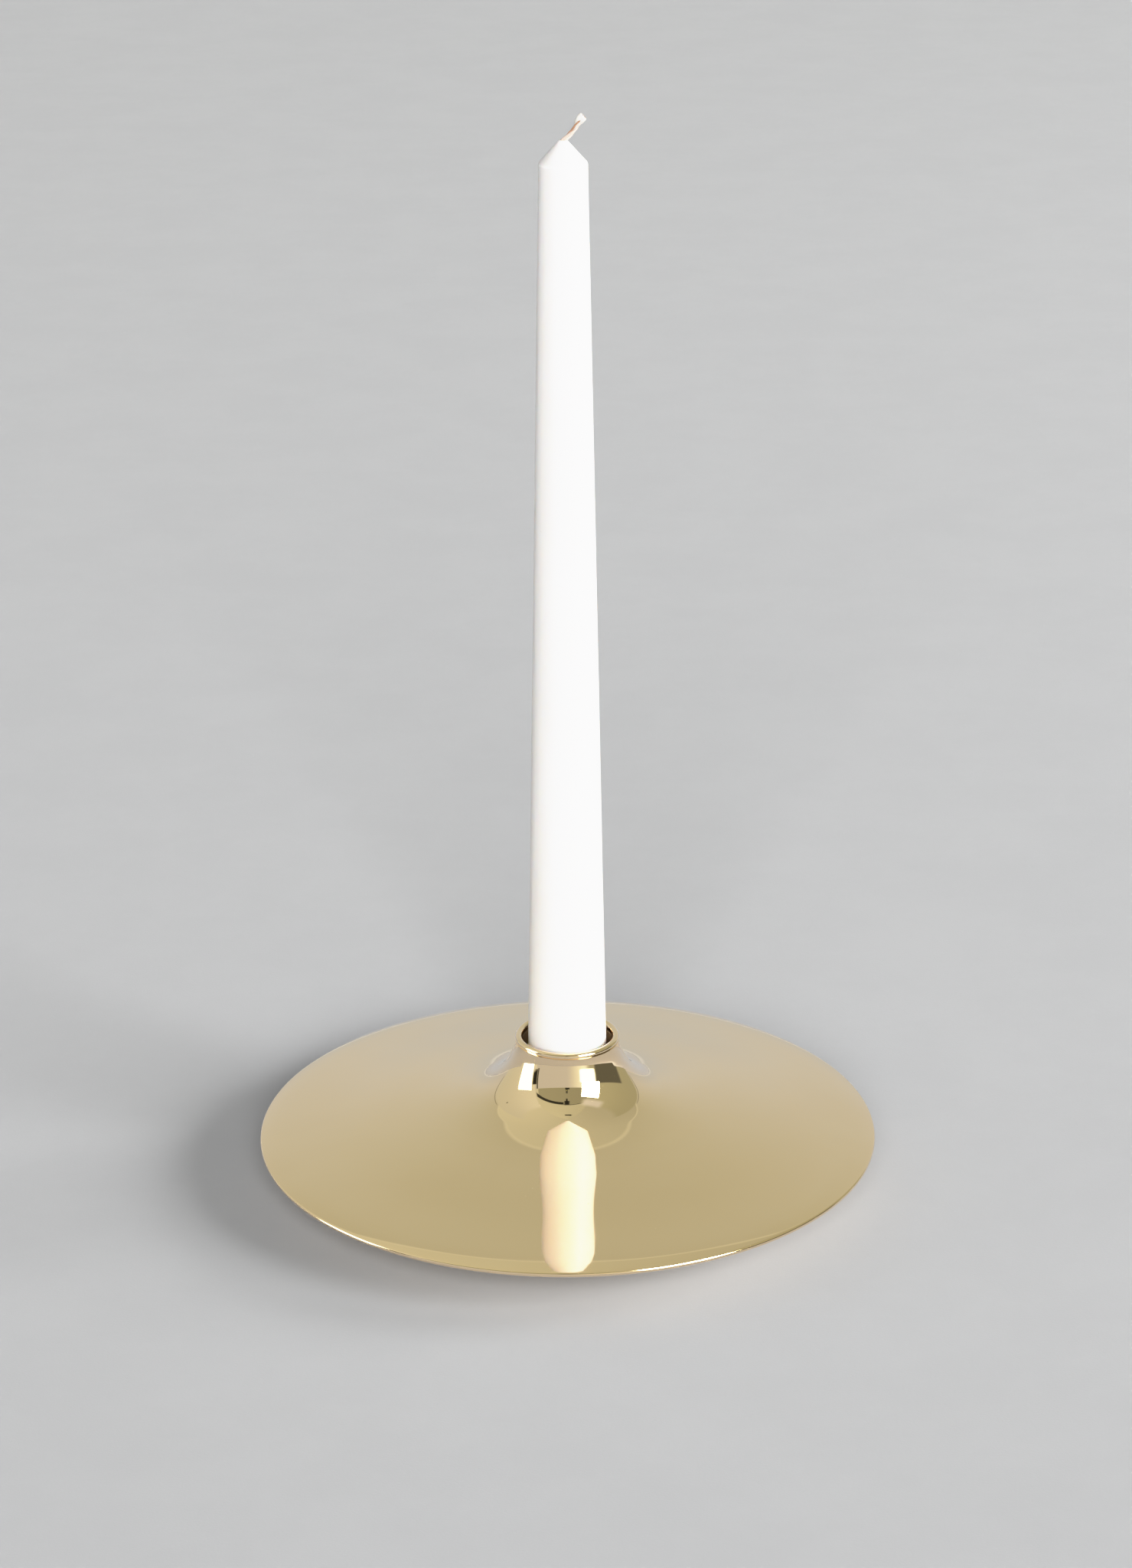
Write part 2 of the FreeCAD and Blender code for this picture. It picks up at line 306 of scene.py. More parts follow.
def tube(line: Array, sideways: Array, wide: Array, deep: Array, sides: int, finish: int,
         bumps: Array | None = None) -> Patch:
    """Carry an oval along a line: line + wide cos b * sideways + deep sin b * y, with b round the oval.

    Args:
        line: points on the line.
        sideways: direction of the oval's first axis at each point.
        wide: half width along that axis.
        deep: half width along y.
        sides: steps round the oval.
        finish: which of the piece's finishes it wears.
        bumps: factor on the oval's size at each point of the grid.

    Returns:
        The patch, closed at both ends.
    """
    turn = around(sides)
    factor = np.ones((len(line), sides)) if bumps is None else bumps
    first = (wide[:, None] * np.cos(turn) * factor)[..., None] * sideways[:, None, :]
    second = (deep[:, None] * np.sin(turn) * factor)[..., None] * np.array([0.0, 1.0, 0.0])
    return Patch(line[:, None, :] + first + second, finish=finish).capped()


def make_mesh(name: str, patches: list[Patch], crease: float = 40.0) -> Piece:
    """Make one object of closed surfaces from grids, in metres, with merged seams and outward normals.

    Args:
        name: name of the object.
        patches: the grids, in millimetres.
        crease: angle past which an edge stays sharp, in degrees.

    Returns:
        The new object, at the origin.
    """
    offsets = np.cumsum([0] + [patch.points.shape[0] * patch.points.shape[1] for patch in patches])
    points = np.concatenate([patch.points.reshape(-1, 3) for patch in patches]) * MM
    faces = np.concatenate([patch.quads(int(start)) for patch, start in zip(patches, offsets)])
    finish = np.concatenate([np.full(len(patch.quads(0)), patch.finish) for patch in patches])
    mesh = bpy.data.meshes.new(name)
    mesh.vertices.add(len(points))
    mesh.vertices.foreach_set("co", points.astype(np.float32).ravel())
    mesh.loops.add(faces.size)
    mesh.loops.foreach_set("vertex_index", faces.astype(np.int32).ravel())
    mesh.polygons.add(len(faces))
    mesh.polygons.foreach_set("loop_start", np.arange(0, faces.size, 4, dtype=np.int32))
    mesh.polygons.foreach_set("material_index", finish.astype(np.int32))
    mesh.update(calc_edges=True)
    work = bmesh.new()
    work.from_mesh(mesh)
    bmesh.ops.remove_doubles(work, verts=work.verts, dist=2e-7)
    bmesh.ops.dissolve_degenerate(work, edges=work.edges, dist=1e-8)
    bmesh.ops.recalc_face_normals(work, faces=work.faces)
    work.to_mesh(mesh)
    work.free()
    mesh.polygons.foreach_set("use_smooth", np.ones(len(mesh.polygons), bool))
    mesh.set_sharp_from_angle(angle=math.radians(crease))
    mesh.update()
    piece = bpy.data.objects.new(name, mesh)
    bpy.context.scene.collection.objects.link(piece)
    return piece


# ---- Finishes ----


class Wiring:
    """A node tree that is being wired."""

    def __init__(self, tree: bpy.types.NodeTree) -> None:
        """Start with an empty tree."""
        self.tree = tree
        self.tree.nodes.clear()

    def add(self, kind: str, **settings: object) -> Node:
        """Add a node of a kind and set its properties."""
        node = self.tree.nodes.new(kind)
        for key, value in settings.items():
            setattr(node, key, value)
        return node

    def feed(self, socket: Socket, value: object) -> None:
        """Wire another socket to this one, or set it to a plain value."""
        if isinstance(value, Socket):
            self.tree.links.new(value, socket)
        else:
            socket.default_value = value

    def sum(self, operation: str, *values: object) -> Socket:
        """Work out one named step of arithmetic on numbers or sockets."""
        node = self.add("ShaderNodeMath", operation=operation)
        for socket, value in zip(node.inputs, values):
            self.feed(socket, value)
        return node.outputs["Value"]

    def total(self, *values: object) -> Socket:
        """Add up numbers or sockets, from the left."""
        return reduce(lambda first, second: self.sum("ADD", first, second), values)

    def product(self, *values: object) -> Socket:
        """Multiply numbers or sockets, from the left."""
        return reduce(lambda first, second: self.sum("MULTIPLY", first, second), values)

    def spread(self, value: Socket, start: float, stop: float, low: float = 0.0, high: float = 1.0) -> Socket:
        """Ease from one level to another while a value crosses a span.

        Args:
            value: the value.
            start: where the span begins.
            stop: where it ends.
            low: the result at start.
            high: the result at stop.

        Returns:
            The result's socket.
        """
        node = self.add("ShaderNodeMapRange", interpolation_type="SMOOTHSTEP")
        for name, number in zip(("From Min", "From Max", "To Min", "To Max"), (start, stop, low, high)):
            node.inputs[name].default_value = number
        self.feed(node.inputs["Value"], value)
        return node.outputs["Result"]

    def within(self, value: Socket, low: float, high: float, soft: float) -> Socket:
        """1 between two ends and 0 past them, eased over a soft width on both sides of each end."""
        return self.product(self.spread(value, low - soft, low + soft),
                            self.spread(value, high - soft, high + soft, 1.0, 0.0))

    def over(self, share: object, below: object, above: object) -> Socket:
        """Lay one level over another: below + share * (above - below)."""
        return self.total(below, self.product(share, self.sum("SUBTRACT", above, below)))


class Bench(Wiring):
    """A material being mixed: its patterns are wired to the one surface shader."""

    def __init__(self, material: Material) -> None:
        """Start a material that holds only its shader and output."""
        material.use_nodes = True
        super().__init__(material.node_tree)
        self.surface = self.add("ShaderNodeBsdfPrincipled")
        out = self.add("ShaderNodeOutputMaterial")
        self.tree.links.new(self.surface.outputs["BSDF"], out.inputs["Surface"])
        self.place = self.add("ShaderNodeTexCoord").outputs["Object"]

    def set(self, **values: object) -> None:
        """Set the shader's sockets, or wire patterns to them, by name with spaces written as underscores."""
        for key, value in values.items():
            self.feed(self.surface.inputs[key.replace("_", " ")], value)

    def stretched(self, x: float, y: float, z: float) -> Socket:
        """Object coordinates with each axis scaled, so that a pattern is drawn out along one of them."""
        node = self.add("ShaderNodeMapping")
        node.inputs["Scale"].default_value = (x, y, z)
        self.feed(node.inputs["Vector"], self.place)
        return node.outputs["Vector"]

    def part(self, axis: str) -> Socket:
        """One of the object's coordinates."""
        parts = self.add("ShaderNodeSeparateXYZ")
        self.feed(parts.inputs["Vector"], self.place)
        return parts.outputs[axis]

    def radius(self) -> Socket:
        """Distance from the upright axis: the square root of x * x + y * y."""
        x, y = self.part("X"), self.part("Y")
        return self.sum("SQRT", self.total(self.product(x, x), self.product(y, y)))

    def height(self) -> Socket:
        """Height above the table."""
        return self.part("Z")

    def across(self, scale: float) -> Socket:
        """A scaled coordinate that is the same all round the axis, for turned and polished lines."""
        joined = self.add("ShaderNodeCombineXYZ")
        self.feed(joined.inputs["X"], self.product(self.radius(), scale))
        self.feed(joined.inputs["Y"], self.product(self.height(), scale))
        return joined.outputs["Vector"]

    def noise(self, scale: float, detail: float = 3.0, rough: float = 0.5, warp: float = 0.0,
              at: Socket | None = None) -> Socket:
        """Cloudy noise from 0 to 1.

        Args:
            scale: clouds per metre.
            detail: how many finer layers are added.
            rough: weight of each finer layer.
            warp: how far the clouds are bent.
            at: coordinates to use in place of the object's own.

        Returns:
            The value's socket.
        """
        node = self.add("ShaderNodeTexNoise")
        self.feed(node.inputs["Vector"], at or self.place)
        for name, number in zip(("Scale", "Detail", "Roughness", "Distortion"), (scale, detail, rough, warp)):
            node.inputs[name].default_value = number
        return node.outputs["Fac"]

    def cells(self, scale: float) -> Socket:
        """Distance to the nearest of scattered points, scale of them to a metre."""
        node = self.add("ShaderNodeTexVoronoi")
        self.feed(node.inputs["Vector"], self.place)
        node.inputs["Scale"].default_value = scale
        return node.outputs["Distance"]

    def mixed(self, share: object, first: object, second: object) -> Socket:
        """Mix two colours, each a plain one or a socket.

        Args:
            share: how much of the second colour.
            first: the colour at 0.
            second: the colour at 1.

        Returns:
            The colour's socket.
        """
        node = self.add("ShaderNodeMix", data_type="RGBA")
        sockets = {(socket.name, socket.type): socket for socket in list(node.inputs)[::-1]}
        for name, value in (("A", first), ("B", second)):
            self.feed(sockets[name, "RGBA"], value if isinstance(value, Socket) else (*value, 1.0))
        self.feed(sockets["Factor", "VALUE"], share)
        return next(socket for socket in node.outputs if socket.type == "RGBA")

    def raised(self, height: Socket, depth: float, on: Socket | None = None) -> Socket:
        """Raise the surface by a pattern.

        Args:
            height: the pattern, from 0 to 1.
            depth: how high 1 stands, in metres.
            on: relief to lay this one on.

        Returns:
            The normal's socket.
        """
        node = self.add("ShaderNodeBump")
        node.inputs["Strength"].default_value = 1.0
        node.inputs["Distance"].default_value = depth
        self.feed(node.inputs["Height"], height)
        if on is not None:
            self.feed(node.inputs["Normal"], on)
        return node.outputs["Normal"]

    def edges(self, start: float = 0.505, stop: float = 0.56) -> Socket:
        """How far a point stands on an outer edge, from the bend of the surface there."""
        return self.spread(self.add("ShaderNodeNewGeometry").outputs["Pointiness"], start, stop)


@dataclass(frozen=True)
class Finish:
    """A finish: the name of its material, and the patterns that wear() wires."""

    name: str

    def wear(self, bench: Bench) -> None:
        """Wire the patterns of the finish."""
        raise NotImplementedError

    def mix(self) -> Material:
        """Mix a new material of this finish."""
        material = bpy.data.materials.new(self.name)
        self.wear(Bench(material))
        return material


@dataclass(frozen=True)
class PolishedBrass(Finish):
    """Buffed brass under clear lacquer: cloudy tone, polishing lines, faint dust and a worn outer edge."""

    name: str = "polished_brass"
    tone: Colour = (0.895, 0.684, 0.440)
    aged: Colour = (0.868, 0.652, 0.408)
    gloss: float = 0.026
    haze: float = 0.055
    waviness: float = 4.0e-6
    edge_radius: float = 0.0838

    def wear(self, bench: Bench) -> None:
        """Wire the patterns of the finish."""
        bench.set(Metallic=1.0, Coat_Weight=1.0, Coat_IOR=1.42, Coat_Roughness=0.02)
        clouds = bench.noise(26.0, detail=5.0, rough=0.55, warp=0.6)
        bench.set(Base_Color=bench.mixed(bench.spread(clouds, 0.35, 0.75, 0.0, 0.55), self.tone, self.aged))
        lines = bench.noise(1.0, detail=4.0, rough=0.7, at=bench.across(5200.0))
        smears = bench.noise(55.0, detail=6.0, rough=0.62, warp=1.2)
        polish = bench.spread(smears, 0.38, 0.78, self.gloss, self.haze)
        polish = bench.total(polish, bench.spread(lines, 0.45, 0.8, 0.0, 0.018))
        dust = bench.spread(bench.cells(260.0), 0.055, 0.035, 0.0, 0.22)
        worn = bench.spread(bench.radius(), self.edge_radius, self.edge_radius + 0.0006, 0.0, 0.05)
        bench.set(Roughness=bench.total(polish, dust, worn))
        calm = bench.spread(bench.radius(), 0.030, 0.050, 0.06, 1.0)
        waves = bench.product(bench.noise(95.0, detail=1.5, rough=0.4), calm)
        bench.set(Normal=bench.raised(lines, 1.5e-7, on=bench.raised(waves, self.waviness)))


@dataclass(frozen=True)
class TurnedBrass(Finish):
    """Brass bar turned on a lathe and buffed: tool lines round the axis; below the lip a painted shade makes
    the socket and the part inside the neck darker, duller and coarser, so the lip's outer edge looks
    brighter.
    """

    name: str = "turned_brass"
    tone: Colour = (0.900, 0.692, 0.450)
    aged: Colour = (0.860, 0.640, 0.400)
    # inside: colour of the painted shade below the lip, in the socket and inside the neck
    inside: Colour = (0.300, 0.190, 0.100)

    def wear(self, bench: Bench) -> None:
        """Wire the patterns of the finish."""
        bench.set(Metallic=1.0, Coat_Weight=1.0, Coat_IOR=1.5, Coat_Roughness=0.03)
        # painted shade: below the lip the brass is mixed to the dark inside colour, made less metallic and
        # rougher
        shade_below_lip = bench.spread(bench.height(), 0.0412, 0.0421, 1.0, 0.0)
        clouds = bench.spread(bench.noise(120.0, detail=5.0), 0.35, 0.7, 0.0, 0.5)
        bench.set(Base_Color=bench.mixed(shade_below_lip, bench.mixed(clouds, self.tone, self.aged), self.inside))
        bench.set(Metallic=bench.spread(shade_below_lip, 0.0, 1.0, 1.0, 0.25))
        lines = bench.noise(1.0, detail=3.0, rough=0.65, at=bench.across(4200.0))
        coarse = bench.product(bench.spread(lines, 0.3, 0.8, 0.25, 0.45), shade_below_lip)
        rubbed = bench.spread(bench.noise(180.0, detail=5.0), 0.3, 0.8, 0.035, 0.075)
        bench.set(Roughness=bench.total(rubbed, coarse))
        relief = bench.raised(lines, 4.0e-7)
        bench.set(Normal=bench.raised(bench.noise(240.0, detail=1.0), 1.2e-6, on=relief))


@dataclass(frozen=True)
class LacqueredIron(Finish):
    """Cast iron under black lacquer: casting grain, dull hollows and edges rubbed to bare metal."""

    name: str = "black_lacquered_iron"
    lacquer: Colour = (0.030, 0.029, 0.028)
    bare: Colour = (0.170, 0.160, 0.150)

    def wear(self, bench: Bench) -> None:
        """Wire the patterns of the finish."""
        bench.set(Specular_IOR_Level=0.45)
        grain = bench.noise(950.0, detail=5.0, rough=0.6)
        rubbed = bench.product(bench.edges(), bench.spread(grain, 0.42, 0.62))
        cloudy = bench.mixed(bench.spread(bench.noise(70.0, 5.0), 0.3, 0.7), self.lacquer,
                             tuple(1.5 * part for part in self.lacquer))
        bench.set(Base_Color=bench.mixed(rubbed, cloudy, self.bare))
        bench.set(Metallic=bench.product(rubbed, 0.8))
        bench.set(Roughness=bench.spread(bench.noise(160.0, 6.0, 0.6), 0.3, 0.75, 0.30, 0.52))
        pits = bench.raised(bench.spread(bench.cells(420.0), 0.0, 0.22), 2.5e-5)
        bench.set(Normal=bench.raised(grain, 7.0e-5, on=pits))


@dataclass(frozen=True)
class SoftRubber(Finish):
    """Matt black rubber with a fine skin and a dusting of bloom."""

    name: str = "black_rubber"
    skin: Colour = (0.028, 0.028, 0.029)
    bloom: Colour = (0.075, 0.074, 0.073)

    def wear(self, bench: Bench) -> None:
        """Wire the patterns of the finish."""
        bench.set(Specular_IOR_Level=0.35)
        dusting = bench.spread(bench.noise(240.0, detail=7.0, rough=0.65), 0.45, 0.8, 0.0, 0.8)
        bench.set(Base_Color=bench.mixed(dusting, self.skin, self.bloom))
        bench.set(Roughness=bench.spread(dusting, 0.0, 1.0, 0.58, 0.82))
        skin = bench.raised(bench.cells(1500.0), 1.6e-5)
        bench.set(Normal=bench.raised(bench.noise(2600.0, detail=3.0), 1.2e-5, on=skin))


@dataclass(frozen=True)
class ZincSteel(Finish):
    """Zinc plated steel: cloudy plating, turning lines and brighter edges."""

    name: str = "zinc_plated_steel"
    plating: Colour = (0.600, 0.600, 0.585)
    dull: Colour = (0.470, 0.465, 0.440)

    def wear(self, bench: Bench) -> None:
        """Wire the patterns of the finish."""
        bench.set(Metallic=1.0)
        clouds = bench.noise(420.0, detail=6.0, rough=0.6, warp=0.4)
        tone = bench.mixed(bench.spread(clouds, 0.35, 0.7), self.plating, self.dull)
        bench.set(Base_Color=bench.mixed(bench.edges(0.51, 0.6), tone, (0.74, 0.73, 0.71)))
        lines = bench.noise(1.0, detail=3.0, rough=0.6, at=bench.across(9000.0))
        bench.set(Roughness=bench.spread(bench.total(clouds, lines), 0.6, 1.4, 0.24, 0.46))
        bench.set(Normal=bench.raised(lines, 1.2e-6, on=bench.raised(clouds, 4.0e-6)))


@dataclass(frozen=True)
class WoolFelt(Finish):
    """Pressed wool felt: matted fibres in two depths of charcoal with pale stray hairs."""

    name: str = "charcoal_felt"
    deep: Colour = (0.030, 0.030, 0.034)
    light: Colour = (0.095, 0.095, 0.105)

    def wear(self, bench: Bench) -> None:
        """Wire the patterns of the finish."""
        bench.set(Specular_IOR_Level=0.15, Sheen_Weight=0.5, Sheen_Roughness=0.6,
                  Sheen_Tint=(0.8, 0.8, 0.85, 1.0))
        matted = bench.noise(1500.0, detail=8.0, rough=0.75, warp=1.8)
        one_way = bench.noise(900.0, detail=4.0, rough=0.7, warp=2.5, at=bench.stretched(0.25, 1.6, 1.0))
        other_way = bench.noise(900.0, detail=4.0, rough=0.7, warp=2.5, at=bench.stretched(1.6, 0.25, 1.0))
        fibres = bench.sum("MAXIMUM", one_way, other_way)
        tone = bench.mixed(bench.spread(matted, 0.3, 0.7), self.deep, self.light)
        stray = bench.spread(fibres, 0.66, 0.76, 0.0, 0.6)
        bench.set(Base_Color=bench.mixed(stray, tone, (0.20, 0.20, 0.21)))
        bench.set(Roughness=bench.spread(matted, 0.3, 0.7, 0.86, 1.0))
        bench.set(Normal=bench.raised(fibres, 1.6e-4, on=bench.raised(matted, 1.2e-4)))


@dataclass(frozen=True)
class CandleWax(Finish):
    """White stearin wax: light goes a little way in; soft gloss, drawn streaks and a few tiny marks."""

    name: str = "white_wax"
    tone: Colour = (0.805, 0.788, 0.775)
    warm: Colour = (0.780, 0.757, 0.738)
    depth: float = 0.0028

    def wear(self, bench: Bench) -> None:
        """Wire the patterns of the finish."""
        bench.set(Subsurface_Weight=0.75, Subsurface_Radius=(1.0, 0.72, 0.5), Subsurface_Scale=self.depth,
                  IOR=1.44, Specular_IOR_Level=0.5)
        clouds = bench.noise(70.0, detail=5.0, rough=0.55, at=bench.stretched(1.0, 1.0, 0.35))
        streaks = bench.noise(520.0, detail=4.0, rough=0.6, at=bench.stretched(1.0, 1.0, 0.045))
        tone = bench.mixed(bench.spread(clouds, 0.35, 0.7), self.tone, self.warm)
        marks = bench.spread(bench.cells(210.0), 0.06, 0.03, 0.0, 0.16)
        bench.set(Base_Color=bench.mixed(marks, tone, (0.62, 0.56, 0.50)))
        bench.set(Roughness=bench.spread(bench.total(clouds, streaks), 0.7, 1.3, 0.30, 0.46))
        drawn = bench.raised(streaks, 1.6e-5)
        bench.set(Normal=bench.raised(bench.noise(160.0, detail=3.0), 4.0e-5, on=drawn))


@dataclass(frozen=True)
class WickCotton(Finish):
    """Spun cotton: fine fibres laid along the strand, with lighter fuzz on the crowns."""

    tone: Colour
    shade: Colour

    def wear(self, bench: Bench) -> None:
        """Wire the patterns of the finish."""
        bench.set(Specular_IOR_Level=0.2, Sheen_Weight=0.25, Sheen_Roughness=0.5, Subsurface_Weight=0.25,
                  Subsurface_Radius=(1.0, 0.7, 0.5), Subsurface_Scale=0.0005)
        fibres = bench.noise(5200.0, detail=5.0, rough=0.7, warp=1.0, at=bench.stretched(0.6, 1.2, 0.5))
        bench.set(Base_Color=bench.mixed(bench.spread(fibres, 0.32, 0.68), self.shade, self.tone))
        bench.set(Roughness=bench.spread(fibres, 0.3, 0.7, 0.72, 0.95))
        bench.set(Normal=bench.raised(fibres, 4.5e-5))


@dataclass(frozen=True)
class DippedEnd(Finish):
    """Cotton soaked in wax: the fibres show as low ridges under a milky skin."""

    name: str = "wax_dipped_cotton"
    tone: Colour = (0.640, 0.610, 0.570)
    stain: Colour = (0.600, 0.490, 0.410)

    def wear(self, bench: Bench) -> None:
        """Wire the patterns of the finish."""
        bench.set(Subsurface_Weight=0.5, Subsurface_Radius=(1.0, 0.75, 0.55), Subsurface_Scale=0.0008,
                  Specular_IOR_Level=0.45)
        ridges = bench.noise(2100.0, detail=4.0, rough=0.6, warp=0.8, at=bench.stretched(1.5, 1.5, 0.4))
        higher_up = bench.spread(bench.height(), 0.2958, 0.2978, 1.0, 0.0)
        stained = bench.product(bench.spread(ridges, 0.45, 0.65, 0.15, 1.0), higher_up)
        bench.set(Base_Color=bench.mixed(stained, self.tone, self.stain))
        bench.set(Roughness=bench.spread(ridges, 0.3, 0.7, 0.38, 0.58))
        bench.set(Normal=bench.raised(ridges, 6.0e-5))


@dataclass(frozen=True)
class PaperFloor(Finish):
    """Matt pale grey studio paper with a faint tooth."""

    name: str = "grey_paper"
    tone: Colour = (0.500, 0.503, 0.508)
    shade: Colour = (0.489, 0.492, 0.497)

    def wear(self, bench: Bench) -> None:
        """Wire the patterns of the finish."""
        bench.set(Specular_IOR_Level=0.10)
        mottle = bench.noise(22.0, detail=8.0, rough=0.7)
        bench.set(Base_Color=bench.mixed(bench.spread(mottle, 0.35, 0.65), self.tone, self.shade))
        bench.set(Roughness=bench.spread(mottle, 0.3, 0.7, 0.88, 0.96))
        bench.set(Normal=bench.raised(bench.noise(1400.0, detail=3.0), 2.0e-5))


# ---- The object's own pieces ----


def fit(node: str, body: Body, slot: str, name: str, patches: list[Patch], *finishes: Finish,
        crease: float = 40.0) -> Piece:
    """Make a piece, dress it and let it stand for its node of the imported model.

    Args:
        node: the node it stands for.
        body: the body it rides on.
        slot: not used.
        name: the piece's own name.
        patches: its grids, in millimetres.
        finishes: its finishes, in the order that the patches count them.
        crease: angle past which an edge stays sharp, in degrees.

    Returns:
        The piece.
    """
    piece = make_mesh(name, patches, crease)
    for finish in finishes:
        piece.data.materials.append(finish.mix())
    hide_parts(node)
    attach(piece, body.value)
    LOG.info("%-16s stands for %-13s with %6d faces", piece.name, node, len(piece.data.polygons))
    return piece


def node_span(node: str) -> tuple[float, float, float]:
    """A round node's radius, lowest height and highest height in millimetres."""
    low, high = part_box(node)
    return high.x / MM, low.z / MM, high.z / MM


@dataclass
class BrassPlate:
    """The spun disc with its neck, and the turned cup that sits in it."""

    sheet: float = 1.4
    cone_slope: float = 10.6
    roll_slope: float = 19.0
    roll_radius: float = 27.0
    flare_slope: float = 18.0
    flare_radius: float = 86.0
    lip_slope: float = 84.0
    lip_bend: float = 14.7
    neck_slope: float = 70.0
    neck_bend: float = 18.0
    neck_straight: float = 0.92
    neck_radius: float = 14.2
    neck_sheet: float = 1.0
    ripple_slope: float = 0.85
    ripple_length: float = 31.0
    ripple_crest: float = 58.5
    mouth_radius: float = 12.38
    socket_radius: float = 11.5
    socket_depth: float = 28.0
    cup_wall: float = 0.72
    cup_floor: float = 2.0
    boss_radius: float = 8.0
    screw_radius: float = 2.5
    lip_seat: float = 0.6
    disc_steps: int = 384
    cup_steps: int = 224
    finish: PolishedBrass = PolishedBrass()
    cup_finish: TurnedBrass = TurnedBrass()

    def disc_outline(self) -> Array:
        """Draw the sheet's section: down the neck, out along the upper skin, round the rim and back below.

        Returns:
            The closed outline.
        """
        rim, _, top = node_span("disc_shell")
        reach = self.neck_straight / math.tan(math.radians(self.neck_slope))
        contour = Contour(self.neck_radius, top)
        contour.bend(self.lip_bend, self.lip_slope, self.neck_slope, 14)
        contour.line(contour.here[0] + reach, contour.here[1] - self.neck_straight, step=0.5)
        contour.bend(self.neck_bend, self.neck_slope, self.flare_slope, 40)
        contour.bend(self.flare_radius, self.flare_slope, self.cone_slope, 16)
        cone_head = contour.here.copy()
        bead = self.sheet / 2
        roll = math.radians(self.roll_slope)
        cone = math.radians(self.cone_slope)
        roll_end = rim - bead + bead * math.sin(roll)
        cone_foot = roll_end - self.roll_radius * (math.sin(roll) - math.sin(cone))
        drop = (cone_foot - cone_head[0]) * math.tan(cone)
        contour.line(cone_foot, cone_head[1] - drop, step=0.9)
        contour.bend(-self.roll_radius, self.cone_slope, self.roll_slope, 8)
        centre = contour.here - bead * np.array([math.sin(roll), math.cos(roll)])
        contour.arc((centre[0], centre[1]), 90.0 - self.roll_slope, -90.0 - self.roll_slope, 16)
        contour.bend(self.sheet - self.roll_radius, self.roll_slope, self.cone_slope, 6)
        below = cone_head - self.sheet * np.array([math.sin(cone), math.cos(cone)])
        contour.line(below[0], below[1], step=1.6)
        contour.bend(self.flare_radius + self.sheet, self.cone_slope, self.flare_slope, 8)
        contour.bend(self.neck_bend + self.sheet, self.flare_slope, self.neck_slope, 18)
        contour.line(self.neck_radius - self.neck_sheet, top, step=1.5)
        return contour.points()

    def spinning_ripple(self, radius: Array) -> Array:
        """The shallow rings that spinning leaves: a sine along the radius that fades at the neck and the rim.

        Args:
            radius: distance of each point from the axis.

        Returns:
            How far each point is lifted.
        """
        turn = math.tau / self.ripple_length
        depth = math.tan(math.radians(self.ripple_slope)) / turn
        height = -depth * np.sin(turn * (radius - self.ripple_crest))
        return height * eased(radius, 36.0, 46.0) * (1.0 - eased(radius, 78.0, 83.0))

    def spin_disc(self) -> Piece:
        """Spin the disc and let it stand for its node.

        Returns:
            The piece.
        """
        outline = self.disc_outline()
        outline[:, 1] += self.spinning_ripple(outline[:, 0])
        patch = Patch(turned(outline, self.disc_steps), rows_close=True)
        return fit("disc_shell", Body.HOLDER, "disc_brass", "spun_disc", [patch], self.finish, crease=60.0)

    def cup_outline(self) -> Array:
        """Draw the cup's section: socket floor, socket wall, rounded lip, outside, boss and tapped hole.

        Returns:
            The outline from axis to axis.
        """
        lip_radius, bottom, top = node_span("candle_cup")
        lip_round = (lip_radius - self.mouth_radius) / 2
        lip = top - lip_round
        seat = lip - self.lip_seat
        floor = lip - self.socket_depth
        outer = self.mouth_radius + self.cup_wall
        under = floor - self.cup_floor
        inside = rounded([(0.0, floor, 0.0), (self.socket_radius, floor, 0.8), (self.mouth_radius, lip, 0.0)])
        crown = Contour(self.mouth_radius, lip)
        crown.arc((self.mouth_radius + lip_round, lip), 180.0, 0.0, 22)
        hole = floor - 1.0
        outside = rounded([
            (lip_radius, lip, 0.0), (lip_radius, seat, 0.18), (outer, seat, 0.05), (outer, under, 0.5),
            (self.boss_radius, under, 0.4), (self.boss_radius, bottom, 0.35),
            (self.screw_radius, bottom, 0.2), (self.screw_radius, hole, 0.1), (0.0, hole, 0.0)])[1:]
        return refined(np.concatenate([inside, crown.points()[1:], outside]), 1.2)

    def turn_cup(self) -> Piece:
        """Turn the cup and let it stand for its node.

        Returns:
            The piece.
        """
        patch = Patch(turned(self.cup_outline(), self.cup_steps))
        return fit("candle_cup", Body.HOLDER, "cup_brass", "turned_cup", [patch], self.cup_finish)

    def build(self) -> list[Piece]:
        """Build both pieces."""
        return [self.spin_disc(), self.turn_cup()]


